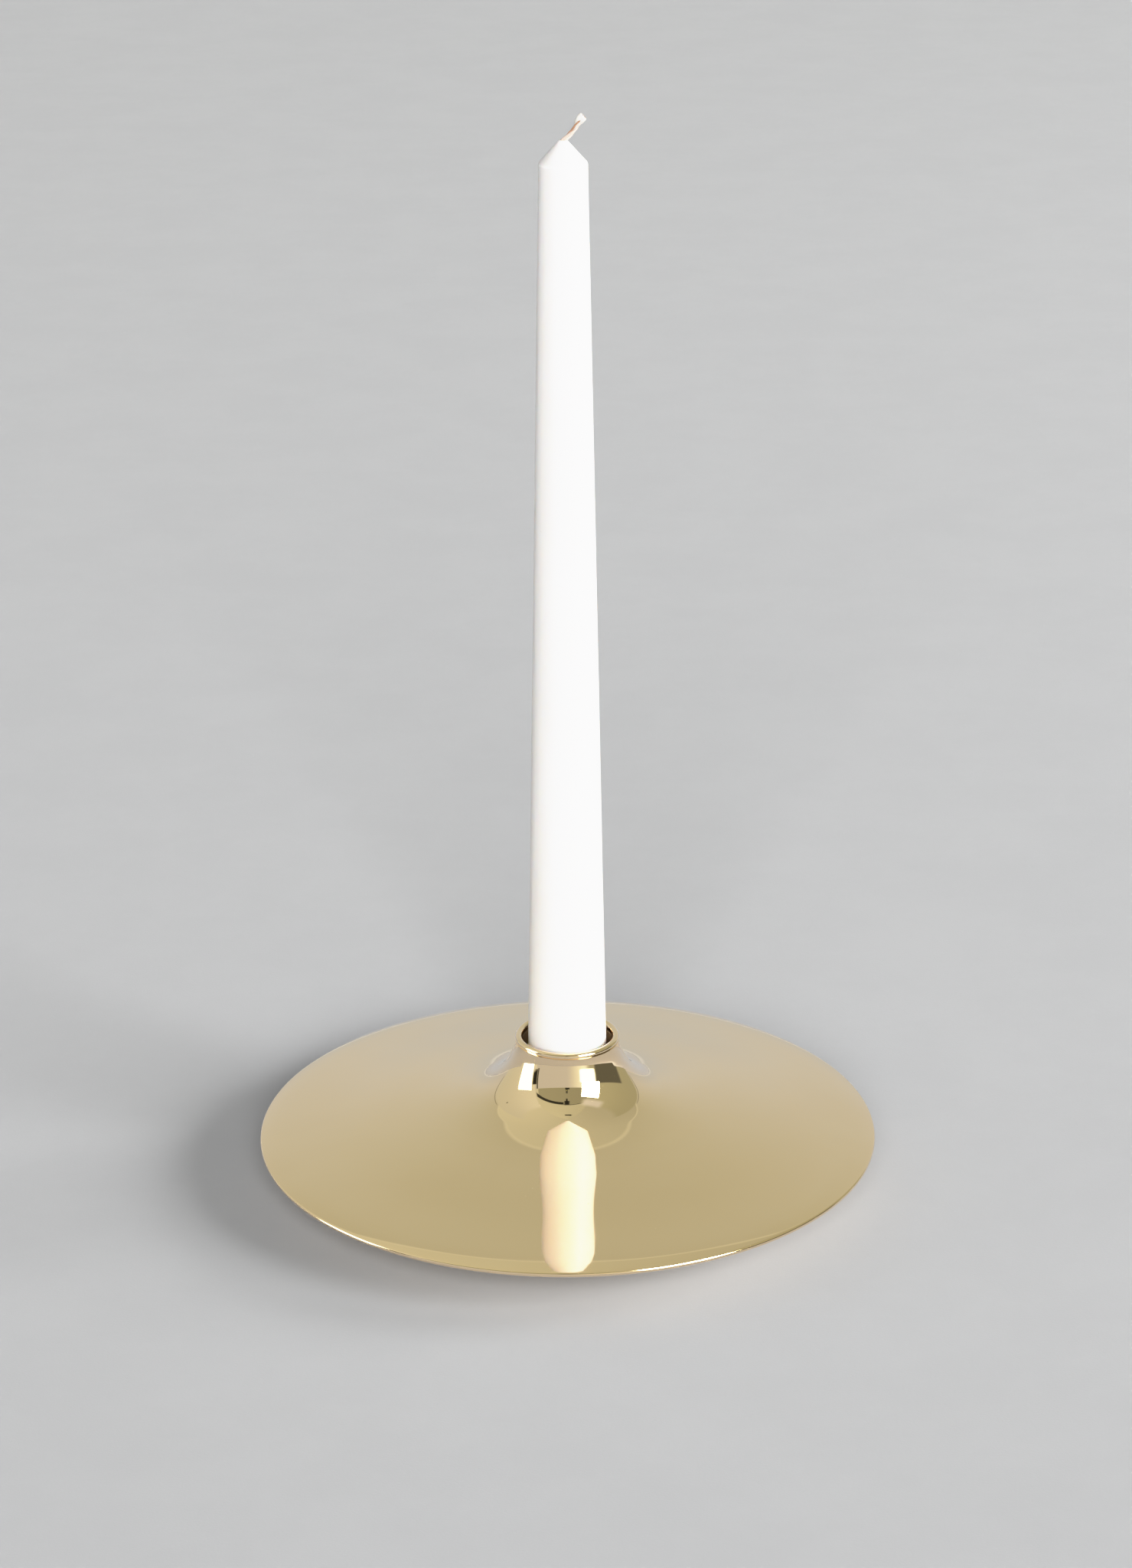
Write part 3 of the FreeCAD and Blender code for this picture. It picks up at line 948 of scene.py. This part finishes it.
@dataclass
class WeightedFoot:
    """What carries the disc: cast foot, rubber ring, felt ring, and the cup's screw and washer."""

    top_radius: float = 44.45
    trough_outer: float = 37.95
    trough_inner: float = 18.4
    trough_floor: float = 11.5
    pocket_radius: float = 13.4
    web_top: float = 8.0
    web_bottom: float = 5.4
    hole_radius: float = 2.9
    recess_radius: float = 14.0
    ring_inner: float = 38.45
    ring_outer: float = 43.45
    ring_thickness: float = 1.0
    ring_round: float = 0.22
    cone_slope: float = 10.6
    cast_round: float = 1.0
    head_radius: float = 4.75
    head_height: float = 2.4
    drive_width: float = 3.0
    drive_depth: float = 1.4
    thread_radius: float = 2.5
    thread_pitch: float = 0.8
    thread_depth: float = 0.42
    thread_steps: int = 150
    washer_bore: float = 2.65
    washer_round: float = 0.18
    washer_gap: float = 9.0
    washer_slant: float = 14.0
    felt_width: float = 18.0
    foot_steps: int = 288
    ring_steps: int = 256
    screw_steps: int = 96
    washer_steps: int = 150
    felt_steps: int = 320
    iron: LacqueredIron = LacqueredIron()
    rubber: SoftRubber = SoftRubber()
    steel: ZincSteel = ZincSteel()
    felt: WoolFelt = WoolFelt()

    def seat_height(self, radius: float, low: float, low_radius: float) -> float:
        """Height of the conical seat at a radius, from its height at another radius."""
        return low + (low_radius - radius) * math.tan(math.radians(self.cone_slope))

    def cast_foot(self) -> Piece:
        """Cast the foot: rounded corners turned about the axis, with the skin of a sand casting.

        Returns:
            The piece.
        """
        outer, bottom, top = node_span("foot_weight")
        shoulder = self.seat_height(self.top_radius, top, self.trough_outer)
        corners = [
            (self.recess_radius, bottom, 0.5), (outer, bottom, self.cast_round),
            (self.top_radius, shoulder, 0.5), (self.trough_outer, top, 0.4),
            (self.trough_outer, self.trough_floor, 2.0), (self.trough_inner, self.trough_floor, 2.0),
            (self.trough_inner, shoulder, 0.6), (self.pocket_radius, shoulder, 0.3),
            (self.pocket_radius, self.web_top, 0.5), (self.hole_radius, self.web_top, 0.15),
            (self.hole_radius, self.web_bottom, 0.15), (self.recess_radius, self.web_bottom, 0.6)]
        grid = turned(ring(corners, 1.1), self.foot_steps)
        skin = 0.035 * uneven(grid, 9.0, seed=3) + 0.02 * uneven(grid, 3.2, seed=4)
        grid = swell(grid, np.minimum(skin, 0.0))
        patch = Patch(grid, rows_close=True)
        return fit("foot_weight", Body.HOLDER, "foot_iron", "cast_foot", [patch], self.iron)

    def rubber_ring(self) -> Piece:
        """Lay the ring along the cone: a strip with round edges whose free sides bulge where it is squeezed.

        Returns:
            The piece.
        """
        _, _, top = node_span("cushion_ring")
        inner, outer, soft = self.ring_inner, self.ring_outer, self.ring_round
        low = self.seat_height(outer, top, inner)
        drop = self.ring_thickness / math.cos(math.radians(self.cone_slope))
        corners = [
            (inner, top - drop, soft), (outer, low - drop, soft), (outer, low, soft), (inner, top, soft)]
        outline = ring(corners, 0.45, 4)
        middle, half = (inner + outer) / 2, (outer - inner) / 2
        side = np.clip((outline[:, 0] - middle) / half, -1.0, 1.0)
        outline[:, 0] += 0.12 * np.sign(side) * eased(np.abs(side), 0.7, 1.0)
        patch = Patch(turned(outline, self.ring_steps), rows_close=True)
        return fit("cushion_ring", Body.HOLDER, "cushion_rubber", "rubber_ring", [patch], self.rubber)

    def threaded_screw(self) -> Piece:
        """Make the screw as one surface of turn and length.

        The drive's wall is a hexagon: its radius is multiplied by 1 / cos of the angle from the nearest flat.
        On the shank the radius falls by the thread's depth times a triangle wave of height / pitch - turn.

        Returns:
            The piece.
        """
        _, bottom, top = node_span("clamp_screw")
        under_head = bottom + self.head_height
        drive = self.drive_width / 2
        head = rounded([
            (0.0, bottom + self.drive_depth + 0.35, 0.0), (drive, bottom + self.drive_depth, 0.0),
            (drive, bottom, 0.12), (self.head_radius, bottom, 0.9), (self.head_radius, under_head, 0.15),
            (self.thread_radius, under_head, 0.2)])
        head = refined(head, 0.5)
        rise = np.linspace(under_head, top - 0.4, self.thread_steps)
        shank = np.stack([np.full(self.thread_steps, self.thread_radius), rise], axis=1)
        tip = np.array([[self.thread_radius - 0.45, top], [0.0, top]])
        outline = np.concatenate([head, shank, tip])
        grid = turned(outline, self.screw_steps)
        turn = around(self.screw_steps)
        flat = (turn + math.pi / 6) % (math.pi / 3) - math.pi / 6
        in_drive = (outline[:, 0] <= drive + 0.13) & (outline[:, 1] < under_head - 0.2)
        in_drive &= outline[:, 0] > 0.0
        hexagon = in_drive[:, None] * (outline[:, 0:1] * (1.0 / np.cos(flat)[None, :] - 1.0))
        lead = (outline[:, 1:2] - bottom) / self.thread_pitch - turn / math.tau
        wave = np.abs(lead % 1.0 * 2.0 - 1.0)
        on_shank = eased(outline[:, 1:2], under_head + 0.6, under_head + 1.4) * (outline[:, 0:1] > 2.0)
        grid = swell(grid, hexagon - self.thread_depth * wave * on_shank)
        return fit("clamp_screw", Body.HOLDER, "screw_steel", "threaded_screw", [Patch(grid)], self.steel,
                   crease=32.0)

    def split_washer(self) -> Piece:
        """Bend the lock washer: a rounded section carried round the axis, short of a full turn by the split.

        Returns:
            The piece.
        """
        outer, bottom, top = node_span("lock_washer")
        bore, soft = self.washer_bore, self.washer_round
        corners = [(bore, bottom, soft), (outer, bottom, soft), (outer, top, soft), (bore, top, soft)]
        section = ring(corners, 0.35, 4)
        half_gap = self.washer_gap / 2
        turn = np.radians(np.linspace(half_gap, 360.0 - half_gap, self.washer_steps))[:, None]
        slant = np.radians(self.washer_slant) * (section[:, 1] - (bottom + top) / 2) / (top - bottom)
        angle = turn + slant[None, :]
        radius, height = section[None, :, 0], section[None, :, 1]
        grid = np.stack([radius * np.cos(angle), radius * np.sin(angle), height + 0.0 * angle], axis=-1)
        patch = Patch(grid).capped()
        return fit("lock_washer", Body.HOLDER, "washer_steel", "split_washer", [patch], self.steel,
                   crease=32.0)

    def felt_ring(self) -> Piece:
        """Cut the felt ring: flat on the table, soft at its cut edges, with a matted surface.

        Returns:
            The piece.
        """
        outer, bottom, top = node_span("felt_pad")
        inner = outer - self.felt_width
        corners = [(inner, bottom, 0.25), (outer, bottom, 0.25), (outer, top, 0.35), (inner, top, 0.35)]
        grid = turned(ring(corners, 0.55, 4), self.felt_steps)
        fuzz = 0.10 * uneven(grid, 1.6, seed=21, waves=24) + 0.06 * uneven(grid, 0.9, seed=22, waves=24)
        radius = np.hypot(grid[..., 0], grid[..., 1])
        edge = 1.0 - eased(np.minimum(radius - inner, outer - radius), 0.0, 0.5)
        inward = np.where(radius > (inner + outer) / 2, -1.0, 1.0)
        grid = swell(grid, inward * np.abs(fuzz) * edge)
        return fit("felt_pad", Body.HOLDER, "felt", "felt_ring", [Patch(grid, rows_close=True)], self.felt)

    def build(self) -> list[Piece]:
        """Build the five pieces."""
        return [self.cast_foot(), self.rubber_ring(), self.threaded_screw(), self.split_washer(),
                self.felt_ring()]


@dataclass
class DinnerCandle:
    """The tapered candle and the twisted wick in it."""

    base_radius: float = 11.2
    shoulder_radius: float = 6.3
    tip_radius: float = 1.1
    tip_height: float = 5.85
    shoulder_round: float = 1.3
    base_chamfer: float = 0.8
    strand_radius: float = 0.37
    strand_offset: float = 0.33
    strand_pitch: float = 11.0
    lean: float = 46.0
    middle_lean: float = 26.0
    last_lean: float = 49.0
    free_length: float = 8.1
    buried_length: float = 6.0
    wick_steps: int = 190
    head_step: int = 130
    strand_sides: int = 14
    strand_phase: float = 3.2
    core_radius: float = 0.62
    candle_steps: int = 160
    wax: CandleWax = CandleWax()
    cotton: WickCotton = WickCotton("wick_cotton", (0.68, 0.56, 0.49), (0.52, 0.40, 0.33))
    marker: WickCotton = WickCotton("wick_marker_strand", (0.50, 0.29, 0.18), (0.34, 0.17, 0.09))
    dipped: DippedEnd = DippedEnd()

    def cast_candle(self) -> Piece:
        """Cast the candle: a straight taper to a rounded shoulder and a pointed tip, very slightly uneven.

        Returns:
            The piece.
        """
        _, bottom, top = node_span("candle_body")
        shoulder = top - self.tip_height
        lean = (self.base_radius - self.shoulder_radius) / (shoulder - bottom)
        corners = [
            (0.0, bottom, 0.0), (self.base_radius - self.base_chamfer, bottom, 0.3),
            (self.base_radius - self.base_chamfer * lean, bottom + self.base_chamfer, 0.4),
            (self.shoulder_radius, shoulder, self.shoulder_round), (self.tip_radius, top, 0.35),
            (0.0, top, 0.0)]
        grid = turned(refined(rounded(corners, steps=10), 1.6), self.candle_steps)
        calm = eased(grid[..., 2], bottom + 24.0, bottom + 40.0)
        drawn = grid * np.array([1.0, 1.0, 0.2])
        grid = swell(grid, calm * (0.045 * uneven(drawn, 16.0, seed=8) + 0.02 * uneven(drawn, 6.0, seed=9)))
        return fit("candle_body", Body.CANDLE, "wax", "dinner_candle", [Patch(grid)], self.wax, crease=60.0)

    def wick_line(self, start: float, count: int) -> tuple[Array, Array, Array]:
        """Follow the free wick: the sum of small steps whose lean goes 0, lean, middle lean, last lean.

        Args:
            start: how far below the tip the line starts.
            count: number of points.

        Returns:
            Points on the line, their distance along it from the tip, and the sideways directions.
        """
        _, _, top = node_span("candle_body")
        along = np.linspace(-start, self.free_length, count)
        angle = np.radians(self.lean * eased(along, -0.9, 0.4)
                           - (self.lean - self.middle_lean) * eased(along, 2.6, 4.6)
                           + (self.last_lean - self.middle_lean) * eased(along, 5.2, 7.6))
        step = along[1] - along[0]
        x = np.concatenate([[0.0], np.cumsum(np.sin((angle[1:] + angle[:-1]) / 2)) * step])
        z = np.concatenate([[0.0], np.cumsum(np.cos((angle[1:] + angle[:-1]) / 2)) * step])
        line = np.stack([x, np.zeros(count), z + top - start], axis=1)
        sideways = np.stack([np.cos(angle), np.zeros(count), -np.sin(angle)], axis=1)
        return line, along, sideways

    def twist_wick(self) -> Piece:
        """Twist three strands round the wick's line, dip its end in wax and run its core down to the base.

        Returns:
            The piece.
        """
        _, bottom, _ = node_span("candle_wick")
        line, along, sideways = self.wick_line(self.buried_length, self.wick_steps)
        patches: list[Patch] = []
        upright = np.array([0.0, 1.0, 0.0])
        # three strands, the last of them the coloured one
        for strand in range(3):
            phase = math.tau * (along / self.strand_pitch + strand / 3.0) + self.strand_phase
            closer = self.strand_offset * (1.0 + 0.25 * eased(along, 4.4, 6.4))
            offset = (closer * np.cos(phase))[:, None] * sideways
            offset = offset + (closer * np.sin(phase))[:, None] * upright
            size = self.strand_radius * (1.0 + 0.06 * np.sin(3.1 * along + strand))
            patches.append(tube(line + offset, sideways, size, size, self.strand_sides, int(strand == 2)))
        # the waxed head, which widens and ends bluntly
        first = self.head_step
        head, reach, across = line[first:], along[first:], sideways[first:]
        flare = eased(reach, 4.0, 7.0)
        blunt = 0.22 * eased(reach, self.free_length - 0.35, self.free_length)
        wide = 0.52 + 0.66 * flare - blunt
        deep = 0.50 + 0.32 * flare - blunt
        turn = around(20)
        ridge = 1.0 + 0.07 * np.sin(3.0 * turn[None, :] + 1.4 * reach[:, None]) * flare[:, None]
        patches.append(tube(head, across, wide, deep, len(turn), 2, ridge))
        # the core inside the candle
        core_height = np.linspace(bottom, line[0, 2] + 1.0, 24)
        core = np.stack([0.0 * core_height, 0.0 * core_height, core_height], axis=1)
        level = np.broadcast_to(np.array([1.0, 0.0, 0.0]), core.shape)
        size = np.full(len(core), self.core_radius)
        patches.append(tube(core, level, size, size, self.strand_sides, 0))
        return fit("candle_wick", Body.CANDLE, "wick_cotton", "twisted_wick", patches,
                   self.cotton, self.marker, self.dipped, crease=60.0)

    def build(self) -> list[Piece]:
        """Build both pieces."""
        return [self.cast_candle(), self.twist_wick()]


# ---- Studio ----


@dataclass(frozen=True)
class Panel:
    """A soft-edged patch of the room, by bearing from the camera's side (right is positive) and elevation."""

    west: float
    east: float
    low: float
    high: float
    left_light: float
    right_light: float
    soft: float = 0.6
    soft_sideways: float | None = None
    tilt: float = 0.0
    warmth: float = 0.0
    beyond_beam: bool = False


def add_lamp(name: str, kind: str, **settings: float) -> Piece:
    """Add a lamp that lights the scene but isn't mirrored in it, and set it up."""
    lamp = bpy.data.lights.new(name, kind)
    for key, value in settings.items():
        setattr(lamp, key, value)
    holder = bpy.data.objects.new(name, lamp)
    holder.visible_glossy = False
    bpy.context.scene.collection.objects.link(holder)
    return holder


@dataclass
class Studio:
    """Pale floor, soft lamps, the room that polished metal mirrors, the camera and the film."""

    floor_size: float = 14.0
    camera_place: tuple[float, float, float] = (0.0, -1.04894, 0.5332)
    camera_pitch: float = 21.645
    camera_roll: float = -0.27
    camera_lens: float = 96.68
    ambient: float = 0.045
    horizon: float = 0.56
    seam_light: float = 0.74
    ceiling_back: float = 1.28
    ceiling_front: float = 2.00
    more_green: float = 0.018
    less_blue: float = 0.20
    shoulder: tuple[tuple[float, float], ...] = (
        (0.0, 0.0), (0.5, 0.5), (0.8, 0.79), (0.95, 0.90), (1.1, 0.942), (1.4, 0.957), (2.2, 0.970),
        (5.0, 1.0))
    panels: tuple[Panel, ...] = (
        Panel(-134, -64, -2, 62, 0.66, 0.80, 3.0, 1.5, warmth=-0.04),
        Panel(62, 132, -2, 60, 0.50, 0.43, 3.0, 1.5, warmth=0.12),
        Panel(-136.3, -135.4, 6, 40, 0.30, 0.30, 1.5, 0.4),
        Panel(133.4, 134.2, 6, 40, 0.28, 0.28, 1.5, 0.4),
        Panel(-121.5, -118.5, 42.2, 43.0, 0.05, 0.05, 0.3, 0.5),
        Panel(-64, 40, -10, 33, 0.64, 0.66, 0.8, 2.0, warmth=-0.22),
        Panel(6, 40, -10, 32.5, 0.8, 1.3, 1.0, 9.0, warmth=-0.08),
        Panel(-58, 40, 33, 75, 0.40, 0.36, 0.5, 1.0, warmth=0.10),
        Panel(-62, 44, 0.4, 70, 0.68, 0.60, 0.35, 1.5, warmth=0.05, beyond_beam=True),
        Panel(-62, -9, -8.5, 0.4, 0.05, 0.03, 1.2, 1.5, tilt=-0.08, beyond_beam=True),
        Panel(-9, 32, -1.6, 0.5, 0.05, 0.15, 0.3, 1.0, beyond_beam=True),
        Panel(-3.4, 0.4, 52.1, 58, 0.03, 0.03, 0.8, 0.8),
        Panel(-7, 4.5, 56, 63, 0.03, 0.03, 0.8, 2.0),
        Panel(-4.5, 4.0, 33.0, 36.0, 0.04, 0.04, 0.4),
        Panel(-3.2, 0.6, 35.5, 42.8, 0.10, 0.10, 0.5),
        Panel(-2.2, -0.8, 37.4, 38.8, 0.55, 0.55, 0.2, warmth=0.6),
        Panel(-97.5, -72, -3.4, 32.0, 7.0, 7.0, 0.8, 0.8, tilt=0.18),
        Panel(-69.5, -61.5, 8, 26, 0.03, 0.03, 0.8, 0.8),
        Panel(-61.0, -58.5, 6, 33, 0.10, 0.10, 0.5, 0.4),
        Panel(57, 110, -2.1, 22.6, 0.14, 0.14, 0.7, 3.0, tilt=-0.08),
        Panel(34, 77, 52, 62, 0.80, 0.74, 3.0, 7.0, warmth=-0.20),
        Panel(27, 54, 8, 23, 8.0, 8.0, 2.5, 4.0),
        Panel(29, 63.5, 22.5, 47.5, 30.0, 30.0, 0.6),
        Panel(-14, 22, 81.0, 83.0, 0.0, 0.0, 0.15, 3.0),
    )

    def lay_floor(self) -> None:
        """Lay the floor: a flat square grid, centred under the object."""
        count = 9
        side = np.linspace(-0.5, 0.5, count) * self.floor_size / MM
        x, y = np.meshgrid(side, side, indexing="ij")
        grid = np.stack([x, y, 0.0 * x], axis=-1)
        floor = make_mesh("studio_floor", [Patch(grid, columns_close=False)])
        if floor.data.polygons[0].normal.z < 0.0:
            floor.data.flip_normals()
        floor.data.materials.append(PaperFloor().mix())
        LOG.info("floor laid, %.0f m across", self.floor_size)

    def stand_lamp(self, name: str, place: tuple[float, float, float], size: float, power: float) -> None:
        """Stand a square lamp near the object, facing it, so that the floor is a little brighter on its side.

        Args:
            name: the lamp's name.
            place: where it stands, in metres.
            size: its side, in metres.
            power: its power in watts.
        """
        holder = add_lamp(name, "AREA", energy=power, size=size)
        holder.location = place
        holder.rotation_euler = Vector(place).to_track_quat("Z", "Y").to_euler()
        holder.visible_camera = False

    def hang_lamp(self, name: str, bearing: float, height: float, width: float, strength: float) -> None:
        """Hang a distant soft lamp.

        Args:
            name: the lamp's name.
            bearing: direction it stands in, in degrees to the right of the camera's side.
            height: its elevation in degrees.
            width: how wide it looks, in degrees.
            strength: light it sends, in watts on a square metre.
        """
        holder = add_lamp(name, "SUN", energy=strength, angle=math.radians(width))
        side, up = math.radians(bearing), math.radians(height)
        turn = Matrix.Rotation(side, 3, "Z") @ Matrix.Rotation(math.pi / 2 - up, 3, "X")
        holder.rotation_euler = turn.to_euler()

    def paint_room(self) -> None:
        """Paint the room that mirrored rays see, and the even light that all other rays see.

        The bearing of a direction is the arc tangent of x over -y and its elevation the arc sine of z.  Each
        panel is the product of four soft steps and is laid over what is already there.
        """
        world = bpy.data.worlds.new("studio_room")
        bpy.context.scene.world = world
        world.use_nodes = True
        world.cycles.sampling_method = "NONE"
        wires = Wiring(world.node_tree)
        add, feed, work, over = wires.add, wires.feed, wires.sum, wires.over
        total, product, step, within = wires.total, wires.product, wires.spread, wires.within
        parts = add("ShaderNodeSeparateXYZ")
        feed(parts.inputs[0], add("ShaderNodeTexCoord").outputs["Generated"])
        x, y, z = parts.outputs
        bearing = work("DEGREES", work("ARCTAN2", x, product(y, -1.0)))
        height = work("DEGREES", work("ARCSINE", z))
        # backdrop paper, darker low down and high up, with a pale line where it meets the floor
        paper = step(height, 14.0, 56.0, 0.652, 0.536)
        paper = work("SUBTRACT", paper, step(height, -3.0, 16.0, 0.075, 0.0))
        paper = over(product(within(height, -0.6, 1.2, 0.6), 0.8), paper, self.seam_light)
        # ceiling, whose front and back edges are straight lines across the room
        ceiling = step(x, -0.55, 0.55, 0.70, 0.50)
        past_edge = work("SUBTRACT", z, product(y, self.ceiling_back))
        past_beam = work("DEGREES", total(z, product(y, self.ceiling_front)))
        on_ceiling = step(past_edge, -0.006, 0.006)
        room = over(on_ceiling, paper, ceiling)
        # pale seam along the back edge
        edge = within(past_edge, -0.017, 0.017, 0.013)
        room = over(product(edge, step(y, 0.0, 0.1, 0.0, 0.6)), room, self.seam_light)
        # warmth takes blue away, and below 0 adds it
        backdrop = step(height, 4.0, 50.0, -0.20, 0.0)
        warmth = over(on_ceiling, backdrop, 0.02)
        for panel in self.panels:
            sideways = panel.soft if panel.soft_sideways is None else panel.soft_sideways
            middle = (panel.west + panel.east) / 2
            level = past_beam if panel.beyond_beam else height
            level = work("SUBTRACT", level, product(work("SUBTRACT", bearing, middle), panel.tilt))
            share = product(within(bearing, panel.west, panel.east, sideways),
                            within(level, panel.low, panel.high, panel.soft))
            light = step(bearing, panel.west, panel.east, panel.left_light, panel.right_light)
            room = over(share, room, light)
            warmth = over(share, warmth, panel.warmth)
        # mirrored rays see the room, the camera sees the horizon, and all others the ambient level
        path = add("ShaderNodeLightPath").outputs
        mirrored = path["Is Glossy Ray"]
        level = over(path["Is Camera Ray"], over(mirrored, self.ambient, room), self.horizon)
        colour = add("ShaderNodeCombineColor")
        feed(colour.inputs["Red"], 1.0)
        feed(colour.inputs["Green"], total(1.0, product(mirrored, self.more_green)))
        blue = work("SUBTRACT", 1.0, product(mirrored, self.less_blue))
        feed(colour.inputs["Blue"], product(blue, work("SUBTRACT", 1.0, product(warmth, mirrored))))
        sky = add("ShaderNodeBackground")
        feed(sky.inputs["Color"], colour.outputs[0])
        feed(sky.inputs["Strength"], level)
        feed(add("ShaderNodeOutputWorld").inputs["Surface"], sky.outputs[0])
        LOG.info("room painted with %d panels", len(self.panels))

    def set_camera(self) -> None:
        """Stand the camera at its place, pitched down and rolled very slightly."""
        data = bpy.data.cameras.new("studio_camera")
        data.lens, data.sensor_width, data.sensor_fit = self.camera_lens, 36.0, "AUTO"
        data.clip_start, data.clip_end = 0.05, 60.0
        camera = bpy.data.objects.new("studio_camera", data)
        turn = Matrix.Rotation(math.radians(90.0 - self.camera_pitch), 3, "X")
        turn = turn @ Matrix.Rotation(math.radians(self.camera_roll), 3, "Z")
        camera.rotation_euler = turn.to_euler()
        camera.location = self.camera_place
        bpy.context.scene.collection.objects.link(camera)
        bpy.context.scene.camera = camera

    def set_film(self) -> None:
        """Show levels as they are up to the bright end, where they run into white along a soft shoulder."""
        view = bpy.context.scene.view_settings
        view.view_transform = "Standard"
        view.look = "None"
        view.use_curve_mapping = True
        mapping = view.curve_mapping
        top = self.shoulder[-1][0]
        mapping.white_level = (top, top, top)
        curve = mapping.curves[3]
        for shown, (level, display) in zip(curve.points, (self.shoulder[0], self.shoulder[-1])):
            shown.location = (level / top, display)
        for level, display in self.shoulder[1:-1]:
            curve.points.new(level / top, display)
        for point in curve.points:
            point.handle_type = "AUTO_CLAMPED"
        mapping.update()

    def build(self) -> None:
        """Set up floor, lamps, room, camera and film."""
        self.lay_floor()
        self.hang_lamp("key_softbox", 62.0, 22.0, 26.0, 3.11)
        self.hang_lamp("front_fill", 0.0, 24.0, 30.0, 3.80)
        self.hang_lamp("left_window", -83.0, 14.0, 24.0, 0.30)
        self.stand_lamp("side_softbox", (2.79, 0.392, 1.03), 1.15, 55.0)
        self.paint_room()
        self.set_camera()
        self.set_film()


def main() -> None:
    """Build the sub-assemblies and the studio, and note the sizes."""
    logging.basicConfig(level=logging.INFO, format="%(name)s: %(message)s")
    pieces = [*BrassPlate().build(), *WeightedFoot().build(), *DinnerCandle().build()]
    Studio().build()
    LOG.info("%d pieces built", len(pieces))


if __name__ == "__main__":
    main()
